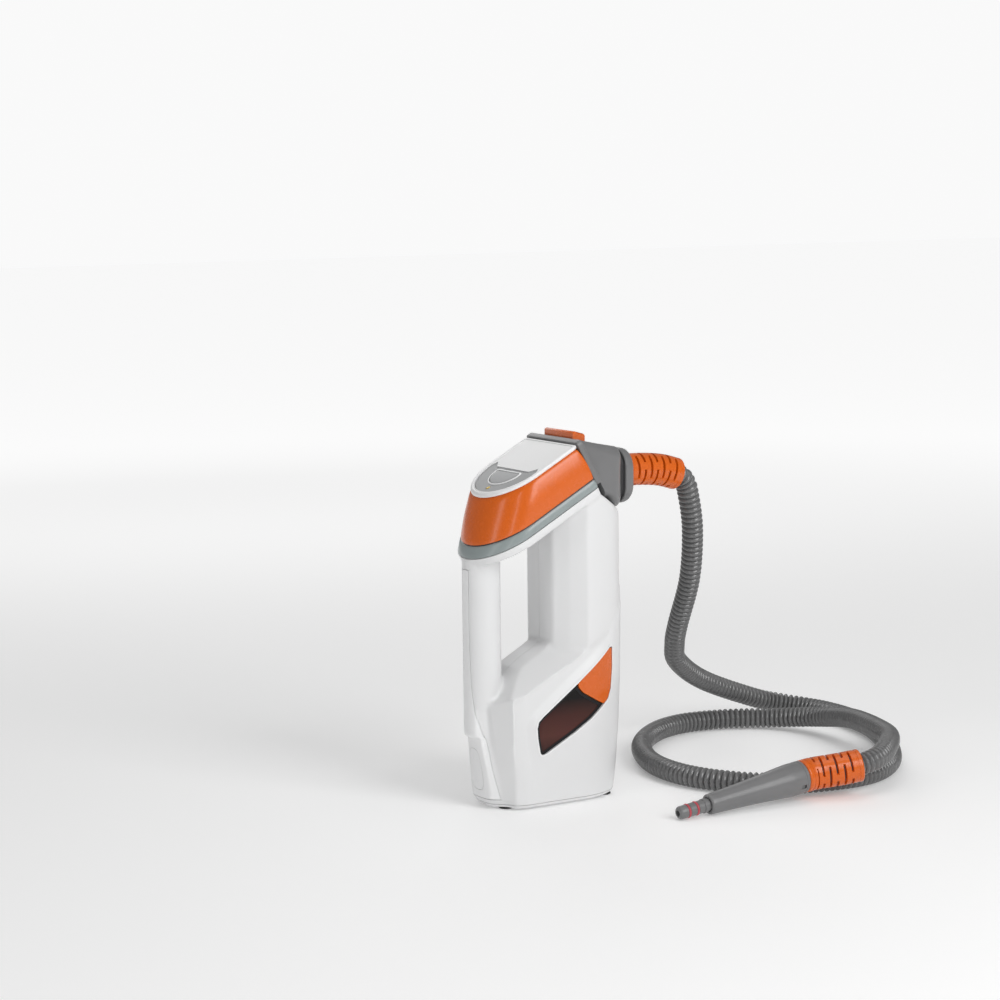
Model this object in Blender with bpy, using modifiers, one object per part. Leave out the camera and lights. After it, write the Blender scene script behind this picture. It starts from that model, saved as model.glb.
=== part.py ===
"""Hand-held steamer: an upright steam unit with a loop handle, a slide-on
hose adapter, a corrugated steam hose and a tapered jet nozzle.

Metres, +Z up. The unit stands on its feet on the plane Z = 0. X is the
width, -Y is the handle side and +Y is the side where the hose leaves.
"""

import math

import bmesh
import bpy
from mathutils import Matrix, Vector

MM = 0.001
GAP = 0.3                # clearance between neighbouring pieces
WALL = 2.5               # moulded wall thickness

# Steam unit
BASE_Z = 1.5             # underside of the base cover, above the feet
COVER_TOP = 4.5
COLUMN_FRONT = -10.0     # wall behind the fingers
COLUMN_HALF = 40.5
COLUMN_BACK = 62.0
CREASE_Y = 12.0
HANDLE_Y = -65.0
HANDLE_RADIUS = 15.6

# Head: a slanted cap in its own frame, U up the slope and N square to it
HEAD_SLOPE = math.radians(28.5)
HEAD_ORIGIN = Vector((0.0, -3.0, 247.0))
HEAD_U = Vector((0.0, math.cos(HEAD_SLOPE), math.sin(HEAD_SLOPE)))
HEAD_N = Vector((0.0, -math.sin(HEAD_SLOPE), math.cos(HEAD_SLOPE)))
HEAD_BACK = 28.5         # U of the flat back face
HEAD_HEIGHT = 40.0
LIP = 7.0                # white lip under the band
BAND_TOP = 8.0

# Steam outlet and hose
PORT_Z = 267.0
SHOULDER_Y = 49.0        # back edge of the casing's top
NECK_BACK = 44.0
ADAPTER_BACK = 57.0
COLLAR_BACK = 72.0
HOSE_RADIUS = 9.25
CUFF_RADIUS = 13.5

CENTRE_SHIFT = 4.3       # brings the unit's footprint box over the origin

WHITE = (0.86, 0.86, 0.85)
ORANGE = (0.68, 0.14, 0.02)
GREY = (0.23, 0.23, 0.23)
PANEL_GREY = (0.76, 0.76, 0.76)
BAND_GREY = (0.28, 0.32, 0.32)
DARK = (0.03, 0.03, 0.032)
HOSE_GREY = (0.10, 0.10, 0.10)
SMOKED = (0.03, 0.018, 0.016)
RUBBER = (0.02, 0.02, 0.02)
STEEL = (0.60, 0.60, 0.62)
BRASS = (0.62, 0.44, 0.16)
TANK = (0.72, 0.78, 0.80)
BOARD = (0.02, 0.18, 0.06)
SEAL_RED = (0.62, 0.09, 0.10)


for old in list(bpy.data.objects):
    bpy.data.objects.remove(old, do_unlink=True)

PARTS = bpy.data.collections.new("hand_steamer")
CUTTERS = bpy.data.collections.new("cutters")
bpy.context.scene.collection.children.link(PARTS)
bpy.context.scene.collection.children.link(CUTTERS)


# ---------------------------------------------------------------- helpers

def material(name, colour, roughness=0.4, metallic=0.0, alpha=1.0):
    """A Principled material, made once for each name."""
    found = bpy.data.materials.get(name)
    if found:
        return found
    made = bpy.data.materials.new(name)
    made.use_nodes = True
    shader = made.node_tree.nodes["Principled BSDF"]
    shader.inputs["Base Color"].default_value = (*colour, 1.0)
    shader.inputs["Roughness"].default_value = roughness
    shader.inputs["Metallic"].default_value = metallic
    shader.inputs["Alpha"].default_value = alpha
    made.diffuse_color = (*colour, 1.0)
    return made


def place(name, mesh, collection=PARTS):
    """Link a mesh as an object; cutters are only shown as wires."""
    thing = bpy.data.objects.new(name, mesh)
    collection.objects.link(thing)
    if collection is CUTTERS:
        thing.hide_render = True
        thing.display_type = "WIRE"
    return thing


def clean(bm):
    """Merge doubled corners and turn all faces outwards."""
    bmesh.ops.remove_doubles(bm, verts=bm.verts, dist=0.000002)
    bmesh.ops.dissolve_degenerate(bm, edges=bm.edges, dist=0.000002)
    bmesh.ops.recalc_face_normals(bm, faces=bm.faces)


def evaluated_mesh(thing):
    graph = bpy.context.evaluated_depsgraph_get()
    return bpy.data.meshes.new_from_object(thing.evaluated_get(graph))


def apply_modifiers(thing):
    mesh = evaluated_mesh(thing)
    bm = bmesh.new()
    bm.from_mesh(mesh)
    bmesh.ops.remove_doubles(bm, verts=bm.verts, dist=0.000002)
    bmesh.ops.dissolve_degenerate(bm, edges=bm.edges, dist=0.000002)
    bm.to_mesh(mesh)
    bm.free()
    old = thing.data
    thing.modifiers.clear()
    thing.data = mesh
    bpy.data.meshes.remove(old)


def boolean(thing, tool, operation="DIFFERENCE"):
    modifier = thing.modifiers.new(operation.lower(), "BOOLEAN")
    modifier.operation = operation
    modifier.object = tool
    apply_modifiers(thing)


def cut(thing, *tools):
    for tool in tools:
        boolean(thing, tool)


def join(thing, *others):
    for other in others:
        boolean(thing, other, "UNION")
        bpy.data.objects.remove(other, do_unlink=True)


def keep_inside(thing, tool):
    boolean(thing, tool, "INTERSECT")


def loft(name, rings, collection=PARTS):
    """A closed solid through rings that all have the same point count."""
    bm = bmesh.new()
    rows = []
    for ring in rings:
        rows.append([bm.verts.new(Vector(point) * MM) for point in ring])
    count = len(rows[0])
    for lower, upper in zip(rows, rows[1:]):
        for i in range(count):
            j = (i + 1) % count
            bm.faces.new((lower[i], lower[j], upper[j], upper[i]))
    bm.faces.new(list(reversed(rows[0])))
    bm.faces.new(rows[-1])
    clean(bm)
    mesh = bpy.data.meshes.new(name)
    bm.to_mesh(mesh)
    bm.free()
    return place(name, mesh, collection)


def curve_to_object(name, curve, matrix, collection):
    """Turn a curve into a welded mesh object."""
    holder = bpy.data.objects.new(name + "_curve", curve)
    bpy.context.scene.collection.objects.link(holder)
    mesh = evaluated_mesh(holder)
    bm = bmesh.new()
    bm.from_mesh(mesh)
    bm.transform(matrix)
    clean(bm)
    bm.to_mesh(mesh)
    bm.free()
    mesh.materials.clear()
    bpy.data.objects.remove(holder, do_unlink=True)
    bpy.data.curves.remove(curve)
    thing = place(name, mesh, collection)
    mesh.name = name
    return thing


def slab(name, outline, low, high, axes, origin, collection=PARTS):
    """A flat outline extruded from low to high; axes are across, up and out."""
    curve = bpy.data.curves.new(name, "CURVE")
    curve.dimensions = "2D"
    curve.fill_mode = "BOTH"
    curve.extrude = (high - low) / 2 * MM
    spline = curve.splines.new("POLY")
    spline.points.add(len(outline) - 1)
    for point, (a, b) in zip(spline.points, outline):
        point.co = (a * MM, b * MM, 0.0, 1.0)
    spline.use_cyclic_u = True
    across, up, out = (Vector(axis) for axis in axes)
    middle = (Vector(origin) + out * ((low + high) / 2)) * MM
    matrix = Matrix((across, up, out)).transposed().to_4x4()
    matrix.translation = middle
    return curve_to_object(name, curve, matrix, collection)


SIDE = ((0, 1, 0), (0, 0, 1), (1, 0, 0))      # outline in Y and Z, out along X
PLAN = ((1, 0, 0), (0, 1, 0), (0, 0, 1))      # outline in X and Y, out along Z
FRONT = ((-1, 0, 0), (0, 0, 1), (0, 1, 0))    # outline in -X and Z, out along Y
HEAD = ((1, 0, 0), HEAD_U, HEAD_N)            # outline in X and U, out along N


def side_slab(name, outline, low, high, collection=CUTTERS):
    return slab(name, outline, low, high, SIDE, (0, 0, 0), collection)


def head_slab(name, outline, low, high, collection=PARTS):
    return slab(name, outline, low, high, HEAD, HEAD_ORIGIN, collection)


def cylinder(name, radius, start, end, collection=PARTS, segments=32, end_radius=None):
    """A round bar or cone between two points."""
    start = Vector(start)
    end = Vector(end)
    if end_radius is None:
        end_radius = radius
    bm = bmesh.new()
    bmesh.ops.create_cone(bm, cap_ends=True, segments=segments,
                          radius1=radius * MM, radius2=end_radius * MM,
                          depth=(end - start).length * MM)
    turn = (end - start).to_track_quat("Z", "Y").to_matrix().to_4x4()
    turn.translation = (start + end) / 2 * MM
    bm.transform(turn)
    mesh = bpy.data.meshes.new(name)
    bm.to_mesh(mesh)
    bm.free()
    return place(name, mesh, collection)


def box(name, low, high, collection=PARTS, bevel=0.0):
    """A block between two corners, with rounded edges if asked."""
    low = Vector(low)
    high = Vector(high)
    size = high - low
    bm = bmesh.new()
    bmesh.ops.create_cube(bm, size=1.0)
    for vert in bm.verts:
        vert.co = Vector([(vert.co[i] * size[i] + (low[i] + high[i]) / 2) * MM for i in range(3)])
    if bevel:
        bmesh.ops.bevel(bm, geom=bm.edges, offset=bevel * MM, segments=2, affect="EDGES")
    mesh = bpy.data.meshes.new(name)
    bm.to_mesh(mesh)
    bm.free()
    return place(name, mesh, collection)


def tube(name, points, radius, resolution=2, collection=PARTS):
    """A round tube along a poly line, with filled ends."""
    curve = bpy.data.curves.new(name, "CURVE")
    curve.dimensions = "3D"
    curve.bevel_depth = radius * MM
    curve.bevel_resolution = resolution
    curve.use_fill_caps = True
    spline = curve.splines.new("POLY")
    spline.points.add(len(points) - 1)
    for point, place_at in zip(spline.points, points):
        point.co = (*(Vector(place_at) * MM), 1.0)
    return curve_to_object(name, curve, Matrix.Identity(4), collection)


def turned(name, profile, start, direction, segments=24, collection=PARTS):
    """A profile of (radius, distance) pairs turned about a line.

    The profile is open and runs down its outer side; the ends close on the
    axis when their radius is zero.
    """
    mesh = bpy.data.meshes.new(name)
    points = [(radius * MM, 0.0, -distance * MM) for radius, distance in profile]
    mesh.from_pydata(points, [(i, i + 1) for i in range(len(points) - 1)], [])
    thing = place(name, mesh, collection)
    screw = thing.modifiers.new("turn", "SCREW")
    screw.steps = segments
    screw.render_steps = segments
    screw.use_merge_vertices = True
    screw.merge_threshold = 0.00001
    apply_modifiers(thing)
    bm = bmesh.new()
    bm.from_mesh(thing.data)
    turn = (-Vector(direction)).to_track_quat("Z", "Y").to_matrix().to_4x4()
    turn.translation = Vector(start) * MM
    bm.transform(turn)
    clean(bm)
    bm.to_mesh(thing.data)
    bm.free()
    return thing


def ring_profile(outer, inner, length):
    """A plain bush, as a closed profile."""
    return [(inner, 0.0), (outer, 0.0), (outer, length), (inner, length), (inner, 0.0)]


def inset(outline, distance):
    """Move each side of a closed outline inwards by a distance."""
    area = 0.0
    count = len(outline)
    for i in range(count):
        ax, ay = outline[i]
        bx, by = outline[(i + 1) % count]
        area += ax * by - bx * ay
    turn = 1.0 if area > 0 else -1.0
    moved = []
    for i in range(count):
        before = Vector(outline[i - 1])
        here = Vector(outline[i])
        after = Vector(outline[(i + 1) % count])
        first = (here - before).normalized()
        second = (after - here).normalized()
        normal_a = Vector((-first.y, first.x)) * turn
        normal_b = Vector((-second.y, second.x)) * turn
        mean = (normal_a + normal_b).normalized()
        moved.append(tuple(here + mean * (distance / max(0.3, mean.dot(normal_a)))))
    return moved


def round_corners(outline, passes=2, amount=0.25):
    """Cut the corners of a closed outline until they read as curves."""
    for _ in range(passes):
        made = []
        for i in range(len(outline)):
            a = Vector(outline[i])
            b = Vector(outline[(i + 1) % len(outline)])
            made.append(tuple(a.lerp(b, amount)))
            made.append(tuple(a.lerp(b, 1.0 - amount)))
        outline = made
    return outline


def finish(thing, *look):
    """Give a part its material, smooth shading and crisp edges."""
    thing.data.materials.clear()
    thing.data.materials.append(material(*look))
    thing.data.shade_smooth()
    thing.data.set_sharp_from_angle(angle=math.radians(32))
    return thing


# ------------------------------------------------------------ body outlines

def mirrored(half):
    """Close a half outline that starts and ends on X = 0."""
    return half + [(-x, y) for x, y in reversed(half[1:-1])]


def back_arc(half_width, centre_y, back_y, steps):
    """The rounded back of a plan outline, from the side to the middle."""
    points = []
    for i in range(steps + 1):
        angle = math.pi / 2 * i / steps
        points.append((half_width * math.cos(angle), centre_y + (back_y - centre_y) * math.sin(angle)))
    points[-1] = (0.0, back_y)
    return points


def column_plan(t):
    """Plan outline of the upright column, inset by t."""
    half = [(0.0, COLUMN_FRONT + t), (10.0, COLUMN_FRONT + t), (17.5 - t * 0.4, COLUMN_FRONT + t)]
    half += [(20.3 - t * 0.8, COLUMN_FRONT + 1.2 + t * 0.9), (30.5 - t * 0.9, 0.2 + t * 0.6)]
    half += back_arc(COLUMN_HALF - t, CREASE_Y, COLUMN_BACK - t, 9)
    return mirrored(half)


def base_plan(half_width, front, flat, side_y, back, t):
    """Plan outline of the foot of the unit, inset by t."""
    half = [(0.0, front + t), (flat * 0.6 - t * 0.3, front + 0.4 + t)]
    half += [(flat - t * 0.6, front + 2.4 + t), (flat + 6.0 - t, front + 10.0 + t * 0.8)]
    half += [(half_width - 4.0 - t, side_y - 6.0 + t * 0.5), (half_width - 1.2 - t, side_y + 2.0)]
    half += back_arc(half_width - t, CREASE_Y, back - t, 9)
    return mirrored(half)


BASE_SECTIONS = [
    # height, half width, front, flat half, side start, back
    (1.5, 33.0, -65.0, 13.0, -46.0, 55.5),
    (8.0, 34.6, -69.5, 14.5, -46.5, 57.0),
    (30.0, 36.6, -72.0, 14.0, -47.0, 59.0),
    (60.0, 38.6, -76.0, 11.0, -49.0, 61.0),
    (95.0, 40.4, -80.0, 8.0, -51.0, 62.4),
    (175.0, 42.2, -80.3, 6.0, -51.0, 63.2),
]

# Lower edge of the finger opening, from the column to the foot of the handle
FLOOR_LINE = [(-9.0, 138.0), (-11.5, 131.0), (-18.0, 126.5), (-30.0, 120.0), (-40.0, 113.5),
              (-48.0, 105.5), (-54.0, 99.0), (-60.0, 92.5), (-67.0, 88.5)]


def ridge_height(y):
    """Height of the side ridge that runs up towards the back."""
    return 94.0 + 0.53 * (y + 53.0)


def body_solid(name, t, low=BASE_Z):
    """The outer form of the unit, inset by t, without the head."""
    rings = []
    for z, half_width, front, flat, side_y, back in BASE_SECTIONS:
        height = low if z == BASE_Z else z
        rings.append([(x, y, height) for x, y in base_plan(half_width, front, flat, side_y, back, t)])
    body = loft(name, rings, CUTTERS)

    above = [(y + t * 0.5, z - t) for y, z in FLOOR_LINE]
    above = [(90.0, 138.0 - t)] + above + [(-110.0, 86.0 - t), (-110.0, 200.0), (90.0, 200.0)]
    opening = side_slab(name + "_opening", above, -80.0, 80.0)
    back_block = side_slab(name + "_back", [(-9.0 + t, 90.0), (90.0, 90.0), (90.0, 200.0), (-9.0 + t, 200.0)],
                           -70.0, 70.0)
    boolean(opening, back_block)
    cut(body, opening)
    bpy.data.objects.remove(back_block, do_unlink=True)
    bpy.data.objects.remove(opening, do_unlink=True)

    for side in (-1.0, 1.0):
        rings = []
        for y in (-100.0, 100.0):
            ridge = ridge_height(y) - t
            inner = (side * 16.0, y, ridge + 13.5)
            outer = (side * 70.0, y, ridge - 19.5)
            rings.append([inner, outer, (side * 70.0, y, ridge + 200.0), (side * 16.0, y, ridge + 200.0)])
        wedge = loft(name + "_wedge", rings, CUTTERS)
        cut(body, wedge)
        bpy.data.objects.remove(wedge, do_unlink=True)

    column = loft(name + "_column", [[(x, y, z) for x, y in column_plan(t)] for z in (90.0, 330.0)], CUTTERS)
    floor = head_slab(name + "_floor", head_outline(0.0, t), -LIP + t, 60.0, CUTTERS)
    keep = side_slab(name + "_keep", [(-110.0, -20.0), (200.0, -20.0), (200.0, 140.0), (COLUMN_BACK, 232.0 - t),
                                      (SHOULDER_Y, 240.5 - t), head_yz(HEAD_BACK - t, -6.0 - t),
                                      head_yz(HEAD_BACK - t, 70.0), (-110.0, 330.0)], -80.0, 80.0)
    handle = cylinder(name + "_handle", HANDLE_RADIUS - t, (0, HANDLE_Y, 60.0), (0, HANDLE_Y, 240.0), CUTTERS, 40)
    join(body, column, handle, floor)
    keep_inside(body, keep)
    bpy.data.objects.remove(keep, do_unlink=True)
    return body


def head_yz(u, n):
    """Y and Z of a point given in the head's frame."""
    point = HEAD_ORIGIN + HEAD_U * u + HEAD_N * n
    return (point.y, point.z)


def head_outline(n, t=0.0, steps=14):
    """D-shaped outline of the head at height n above the band's lower edge."""
    share = n / HEAD_HEIGHT
    half_width = 42.0 - 3.2 * share - t
    front = -87.0 + 36.0 * share + t
    centre = front + half_width * 1.02
    half = [(0.0, HEAD_BACK - t), (half_width - 2.0, HEAD_BACK - t), (half_width, HEAD_BACK - t - 2.0)]
    for i in range(steps + 1):
        angle = math.pi / 2 * i / steps
        half.append((half_width * math.cos(angle), centre - (centre - front) * math.sin(angle)))
    half[-1] = (0.0, front)
    return mirrored(half)


def head_loft(name, levels, t, collection=PARTS):
    """Part of the head between heights, inset by t."""
    rings = []
    for n in levels:
        ring = []
        for x, u in head_outline(n, t):
            ring.append(Vector((x, 0, 0)) + HEAD_ORIGIN + HEAD_U * u + HEAD_N * n)
        rings.append(ring)
    return loft(name, rings, collection)


def smooth_path(route, spacing):
    """Evenly spaced points on a smooth curve through the route points."""
    points = [Vector(point) for point in route]
    points = [points[0] * 2 - points[1]] + points + [points[-1] * 2 - points[-2]]
    fine = []
    for i in range(1, len(points) - 2):
        p0, p1, p2, p3 = points[i - 1:i + 3]
        for step in range(24):
            s = step / 24
            fine.append(0.5 * ((2 * p1) + (p2 - p0) * s + (2 * p0 - 5 * p1 + 4 * p2 - p3) * s ** 2
                               + (3 * p1 - p0 - 3 * p2 + p3) * s ** 3))
    fine.append(points[-2].copy())
    lengths = [0.0]
    for a, b in zip(fine, fine[1:]):
        lengths.append(lengths[-1] + (b - a).length)
    count = max(2, round(lengths[-1] / spacing))
    even = []
    j = 0
    for k in range(count + 1):
        target = lengths[-1] * k / count
        while j < len(lengths) - 2 and lengths[j + 1] < target:
            j += 1
        share = (target - lengths[j]) / (lengths[j + 1] - lengths[j])
        even.append(fine[j].lerp(fine[j + 1], share))
    return even


# ------------------------------------------------------------------- bodies

outer = body_solid("outer", 0.0)
skin = body_solid("skin", 0.8)
trim_inner = body_solid("trim_inner", 2.2)
cavity = body_solid("cavity", WALL, -5.0)


def between(name, solid, tool, hollow):
    """The piece of a body that lies inside a tool and outside a hollow."""
    piece = place(name, solid.data.copy())
    keep_inside(piece, tool)
    if hollow:
        cut(piece, hollow)
    return piece


# Windows and openings, as outlines in Y and Z on the +X side
DOOR = [(37.0, 127.0), (33.1, 127.0), (0.5, 101.5), (2.0, 97.5), (6.0, 93.0), (20.5, 84.5), (27.5, 81.0),
        (32.5, 85.0), (35.5, 93.0), (37.3, 110.0)]
WINDOW = [(0.5, 101.5), (-31.5, 77.5), (-35.8, 73.5), (-37.0, 68.5), (-36.2, 60.0), (-33.6, 47.5), (-31.8, 45.4),
          (-28.5, 46.0), (0.0, 61.5), (15.0, 71.0), (27.5, 81.0), (20.5, 84.5), (6.0, 93.0), (2.0, 97.5)]

TIP_ROOM = [(37.0, 127.6), (33.9, 127.6)]     # the door's tip swings through this

door_tool = side_slab("door_tool", inset(DOOR, GAP), 20.0, 60.0)
window_tool = side_slab("window_tool", inset(WINDOW, GAP), 20.0, 60.0)
side_hole = side_slab("side_hole", TIP_ROOM + DOOR[2:3] + WINDOW[1:10] + DOOR[6:], 20.0, 60.0)

# Front trim: a narrow strip down the handle that widens into the foot
STRIP = [(4.6, 197.0), (4.6, 142.0), (6.0, 104.0), (9.0, 79.0), (13.0, 53.0), (17.0, 27.0), (19.5, 9.0)]


def strip_outline(widen):
    left = [(-x - widen, z) for x, z in STRIP]
    right = [(x + widen, z) for x, z in STRIP]
    left[0] = (left[0][0], STRIP[0][1] + widen)
    right[0] = (right[0][0], STRIP[0][1] + widen)
    left[-1] = (left[-1][0], STRIP[-1][1] - widen)
    right[-1] = (right[-1][0], STRIP[-1][1] - widen)
    return left + right[::-1]


strip_tool = slab("strip_tool", strip_outline(0.0), -110.0, -56.0, FRONT, (0, 0, 0), CUTTERS)
strip_hole = slab("strip_hole", strip_outline(GAP), -110.0, -55.7, FRONT, (0, 0, 0), CUTTERS)

BADGE = round_corners([(-10.0, 15.0), (10.0, 15.0), (7.5, 50.0), (-7.5, 50.0)], 2, 0.2)
badge_tool = slab("badge_tool", inset(BADGE, GAP), -110.0, -52.0, FRONT, (0, 0, 0), CUTTERS)
badge_hole = slab("badge_hole", BADGE, -110.0, -52.0, FRONT, (0, 0, 0), CUTTERS)
badge_floor = body_solid("badge_floor", 1.1)
cut(badge_hole, badge_floor)

# White shell halves
head_cut = head_slab("head_cut", [(-90, -130), (90, -130), (90, HEAD_BACK + 0.2), (-90, HEAD_BACK + 0.2)],
                     0.0, 90.0, CUTTERS)
cover_cut = box("cover_cut", (-90, -120, -10), (90, 120, COVER_TOP + GAP), CUTTERS)
shell = place("shell", outer.data.copy(), CUTTERS)
cut(shell, head_cut, cavity, cover_cut, strip_hole, side_hole)
steam_hole = cylinder("steam_hole", 5.0, (0, 38, 225), (0, 38, 262), CUTTERS)
gland_hole = cylinder("gland_hole", 5.3, (-60, 16, 24), (-20, 16, 24), CUTTERS)
cut(shell, steam_hole, gland_hole)

left_side = box("left_side", (-120, -150, -20), (-0.05, 150, 340), CUTTERS)
right_side = box("right_side", (0.05, -150, -20), (120, 150, 340), CUTTERS)
left_shell = between("left_shell", shell, left_side, None)
right_shell = between("right_shell", shell, right_side, None)

front_trim = between("front_trim", outer, strip_tool, trim_inner)
cut(front_trim, badge_hole)
badge_plate = between("badge_plate", outer, badge_tool, skin)
fill_door = between("fill_door", outer, door_tool, trim_inner)
tank_window = between("tank_window", skin, window_tool, cavity)

# Base cover, its screws and the feet
cover_slice = box("cover_slice", (-90, -120, -10), (90, 120, COVER_TOP), CUTTERS)
base_cover = between("base_cover", outer, cover_slice, None)
SCREWS = [(-21.0, -42.0), (21.0, -42.0), (-26.0, 30.0), (26.0, 30.0)]
FEET = [(-13.0, -52.0), (13.0, -52.0), (-18.0, 40.0), (18.0, 40.0)]
for number, (x, y) in enumerate(SCREWS, 1):
    sink = cylinder("sink_%d" % number, 3.4, (x, y, -1), (x, y, 3.0), CUTTERS, 20)
    clear = cylinder("clear_%d" % number, 1.9, (x, y, 0), (x, y, 8), CUTTERS, 20)
    cut(base_cover, sink, clear)
    profile = [(0, 0), (2.6, 0.1), (3.0, 0.5), (3.0, 1.3), (1.5, 1.35), (1.5, 10.0), (0, 11.5)]
    screw = turned("base_screw_%d" % number, profile, (x, y, 1.6), (0, 0, 1), 20)
    finish(screw, "steel", STEEL, 0.3, 1.0)
for number, (x, y) in enumerate(FEET, 1):
    foot = turned("foot_%d" % number, [(0, 0), (5.2, 0), (6.0, 0.5), (6.0, 1.2), (0, 1.2)], (x, y, 0), (0, 0, 1), 24)
    finish(foot, "rubber", RUBBER, 0.8)

# ----------------------------------------------------------------- the head

head_band = head_loft("head_band", (GAP, BAND_TOP), 0.0)
band_hollow = head_loft("band_hollow", (-1.0, BAND_TOP + 1.0), WALL, CUTTERS)
cut(head_band, band_hollow)

head_skirt = head_loft("head_skirt", (BAND_TOP + GAP, 24.0, HEAD_HEIGHT - 2.8), 0.0)
skirt_hollow = head_loft("skirt_hollow", (BAND_TOP - 1.0, 24.0, HEAD_HEIGHT + 1.0), WALL, CUTTERS)
cut(head_skirt, skirt_hollow)

BUTTON_FLAT = -18.0
BUTTON_FRONT = -35.0


def button_outline(grow):
    """D-shaped outline with its flat side towards the hose."""
    half = [(0.0, BUTTON_FLAT + grow), (16.0 + grow, BUTTON_FLAT + grow), (17.0 + grow, BUTTON_FLAT - 1.0)]
    for i in range(1, 9):
        angle = math.pi / 2 * i / 8
        reach = BUTTON_FLAT - 2.0 - BUTTON_FRONT + grow
        half.append(((17.0 + grow) * math.cos(angle), BUTTON_FLAT - 2.0 - reach * math.sin(angle)))
    half[-1] = (0.0, BUTTON_FRONT - grow)
    return mirrored(half)


def bezel_outline(grow):
    """Half-moon control field around the button."""
    half = [(0.0, -14.0 + grow), (24.0, -14.0 + grow), (31.0 + grow, -8.0 + grow), (34.5 + grow, -13.0)]
    for i in range(1, 11):
        angle = math.pi / 2 * i / 10
        half.append(((34.5 + grow) * math.cos(angle), -14.0 - (33.0 + grow) * math.sin(angle)))
    half[-1] = (0.0, -47.0 - grow)
    return mirrored(half)


top_panel = head_loft("top_panel", (HEAD_HEIGHT - 2.5, HEAD_HEIGHT - 0.8, HEAD_HEIGHT), 0.0)
bezel_hole = head_slab("bezel_hole", bezel_outline(GAP), 30.0, 60.0, CUTTERS)
cut(top_panel, bezel_hole)
control_bezel = head_slab("control_bezel", bezel_outline(0.0), HEAD_HEIGHT - 3.5, HEAD_HEIGHT - 0.7)
button_hole = head_slab("button_hole", button_outline(GAP), 20.0, 60.0, CUTTERS)
cut(control_bezel, button_hole)
control_button = head_slab("control_button", button_outline(0.0), HEAD_HEIGHT - 7.0, HEAD_HEIGHT)
indicator_hole = head_slab("indicator_hole", [(2.3 * math.cos(a * math.pi / 6), -40.7 + 2.3 * math.sin(a * math.pi / 6))
                                              for a in range(12)], 20.0, 60.0, CUTTERS)
cut(control_bezel, indicator_hole)
indicator = head_slab("indicator_lens", [(2.0 * math.cos(a * math.pi / 6), -40.7 + 2.0 * math.sin(a * math.pi / 6))
                                         for a in range(12)], HEAD_HEIGHT - 3.5, HEAD_HEIGHT - 0.5)


def head_box(name, half_width, u_low, u_high, n_low, n_high):
    outline = [(-half_width, u_low), (half_width, u_low), (half_width, u_high), (-half_width, u_high)]
    return head_slab(name, outline, n_low, n_high)


circuit_board = head_box("circuit_board", 27.0, -38.0, 20.0, 24.0, 25.6)
microswitch = head_box("microswitch", 5.0, -32.0, -20.0, 25.9, 30.5)
button_spring_seat = HEAD_ORIGIN + HEAD_U * -26.0 + HEAD_N * 33.0

# ------------------------------------------------------ neck, port, adapter

neck_profile = [(25.4, 255.9), (NECK_BACK, 244.3), (NECK_BACK, 279.5), (41.5, 282.0), (12.0, 282.0)]
neck_housing = slab("neck_housing", neck_profile, -21.0, 21.0, SIDE, (0, 0, 0))
neck_bore = cylinder("neck_bore", 6.4, (0, 30, PORT_Z), (0, 60, PORT_Z), CUTTERS)
neck_drop = cylinder("neck_drop", 5.0, (0, 38, 236), (0, 38, PORT_Z), CUTTERS)
cut(neck_housing, neck_bore, neck_drop)
steam_port = turned("steam_port", [(3.0, 0), (6.0, 0), (6.0, 13.5), (8.4, 13.6), (8.4, 16.2), (5.2, 16.3),
                                   (5.2, 23.4), (4.4, 24.4), (3.0, 24.4), (3.0, 0)],
                    (0, 30.8, PORT_Z), (0, 1, 0))
port_seal = turned("port_seal", ring_profile(6.5, 5.5, 2.4), (0, 49.2, PORT_Z), (0, 1, 0))


def rounded_ring(half_width, low, high, radius, place_point, steps=4):
    """A rounded rectangle between two heights, placed by a function."""
    ring = []
    centres = [(half_width - radius, high - radius, 0), (-half_width + radius, high - radius, 90),
               (-half_width + radius, low + radius, 180), (half_width - radius, low + radius, 270)]
    for cx, cz, start in centres:
        for i in range(steps + 1):
            angle = math.radians(start + 90 * i / steps)
            ring.append(place_point(cx + radius * math.cos(angle), cz + radius * math.sin(angle)))
    return ring


def on_slope(u):
    return lambda x, n: Vector((x, 0, 0)) + HEAD_ORIGIN + HEAD_U * u + HEAD_N * n


def upright(y):
    return lambda x, z: (x, y, z)


flange = loft("adapter_flange", [rounded_ring(39.4, 0.6, 41.5, 3.0, on_slope(HEAD_BACK + 0.4)),
                                 rounded_ring(39.4, 0.6, 41.5, 3.0, on_slope(HEAD_BACK + 6.0))])
adapter_shell = loft("adapter_shell", [rounded_ring(37.0, -13.5, 40.2, 8.0, on_slope(HEAD_BACK + 5.5)),
                                       rounded_ring(36.5, -17.0, 38.0, 8.0, on_slope(HEAD_BACK + 9.0)),
                                       rounded_ring(34.0, 243.7, 291.0, 8.5, upright(45.0)),
                                       rounded_ring(26.5, 239.8, 289.8, 10.0, upright(53.0)),
                                       rounded_ring(18.8, 240.2, 288.0, 11.0, upright(ADAPTER_BACK))])
join(adapter_shell, flange)
neck_room = box("neck_room", (-22, 0, 230), (22, NECK_BACK + 2, 284.2), CUTTERS)
port_room = cylinder("port_room", 9.2, (0, 40, PORT_Z), (0, 47.6, PORT_Z), CUTTERS)
seal_room = cylinder("seal_room", 6.8, (0, 47, PORT_Z), (0, 55.6, PORT_Z), CUTTERS)
outlet = cylinder("outlet", 5.0, (0, 55, PORT_Z), (0, 90, PORT_Z), CUTTERS)
button_room = box("button_room", (-22.4, 9.4, 288.0), (22.4, 22.6, 330), CUTTERS)
cut(adapter_shell, neck_room, port_room, seal_room, outlet, button_room)

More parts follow.
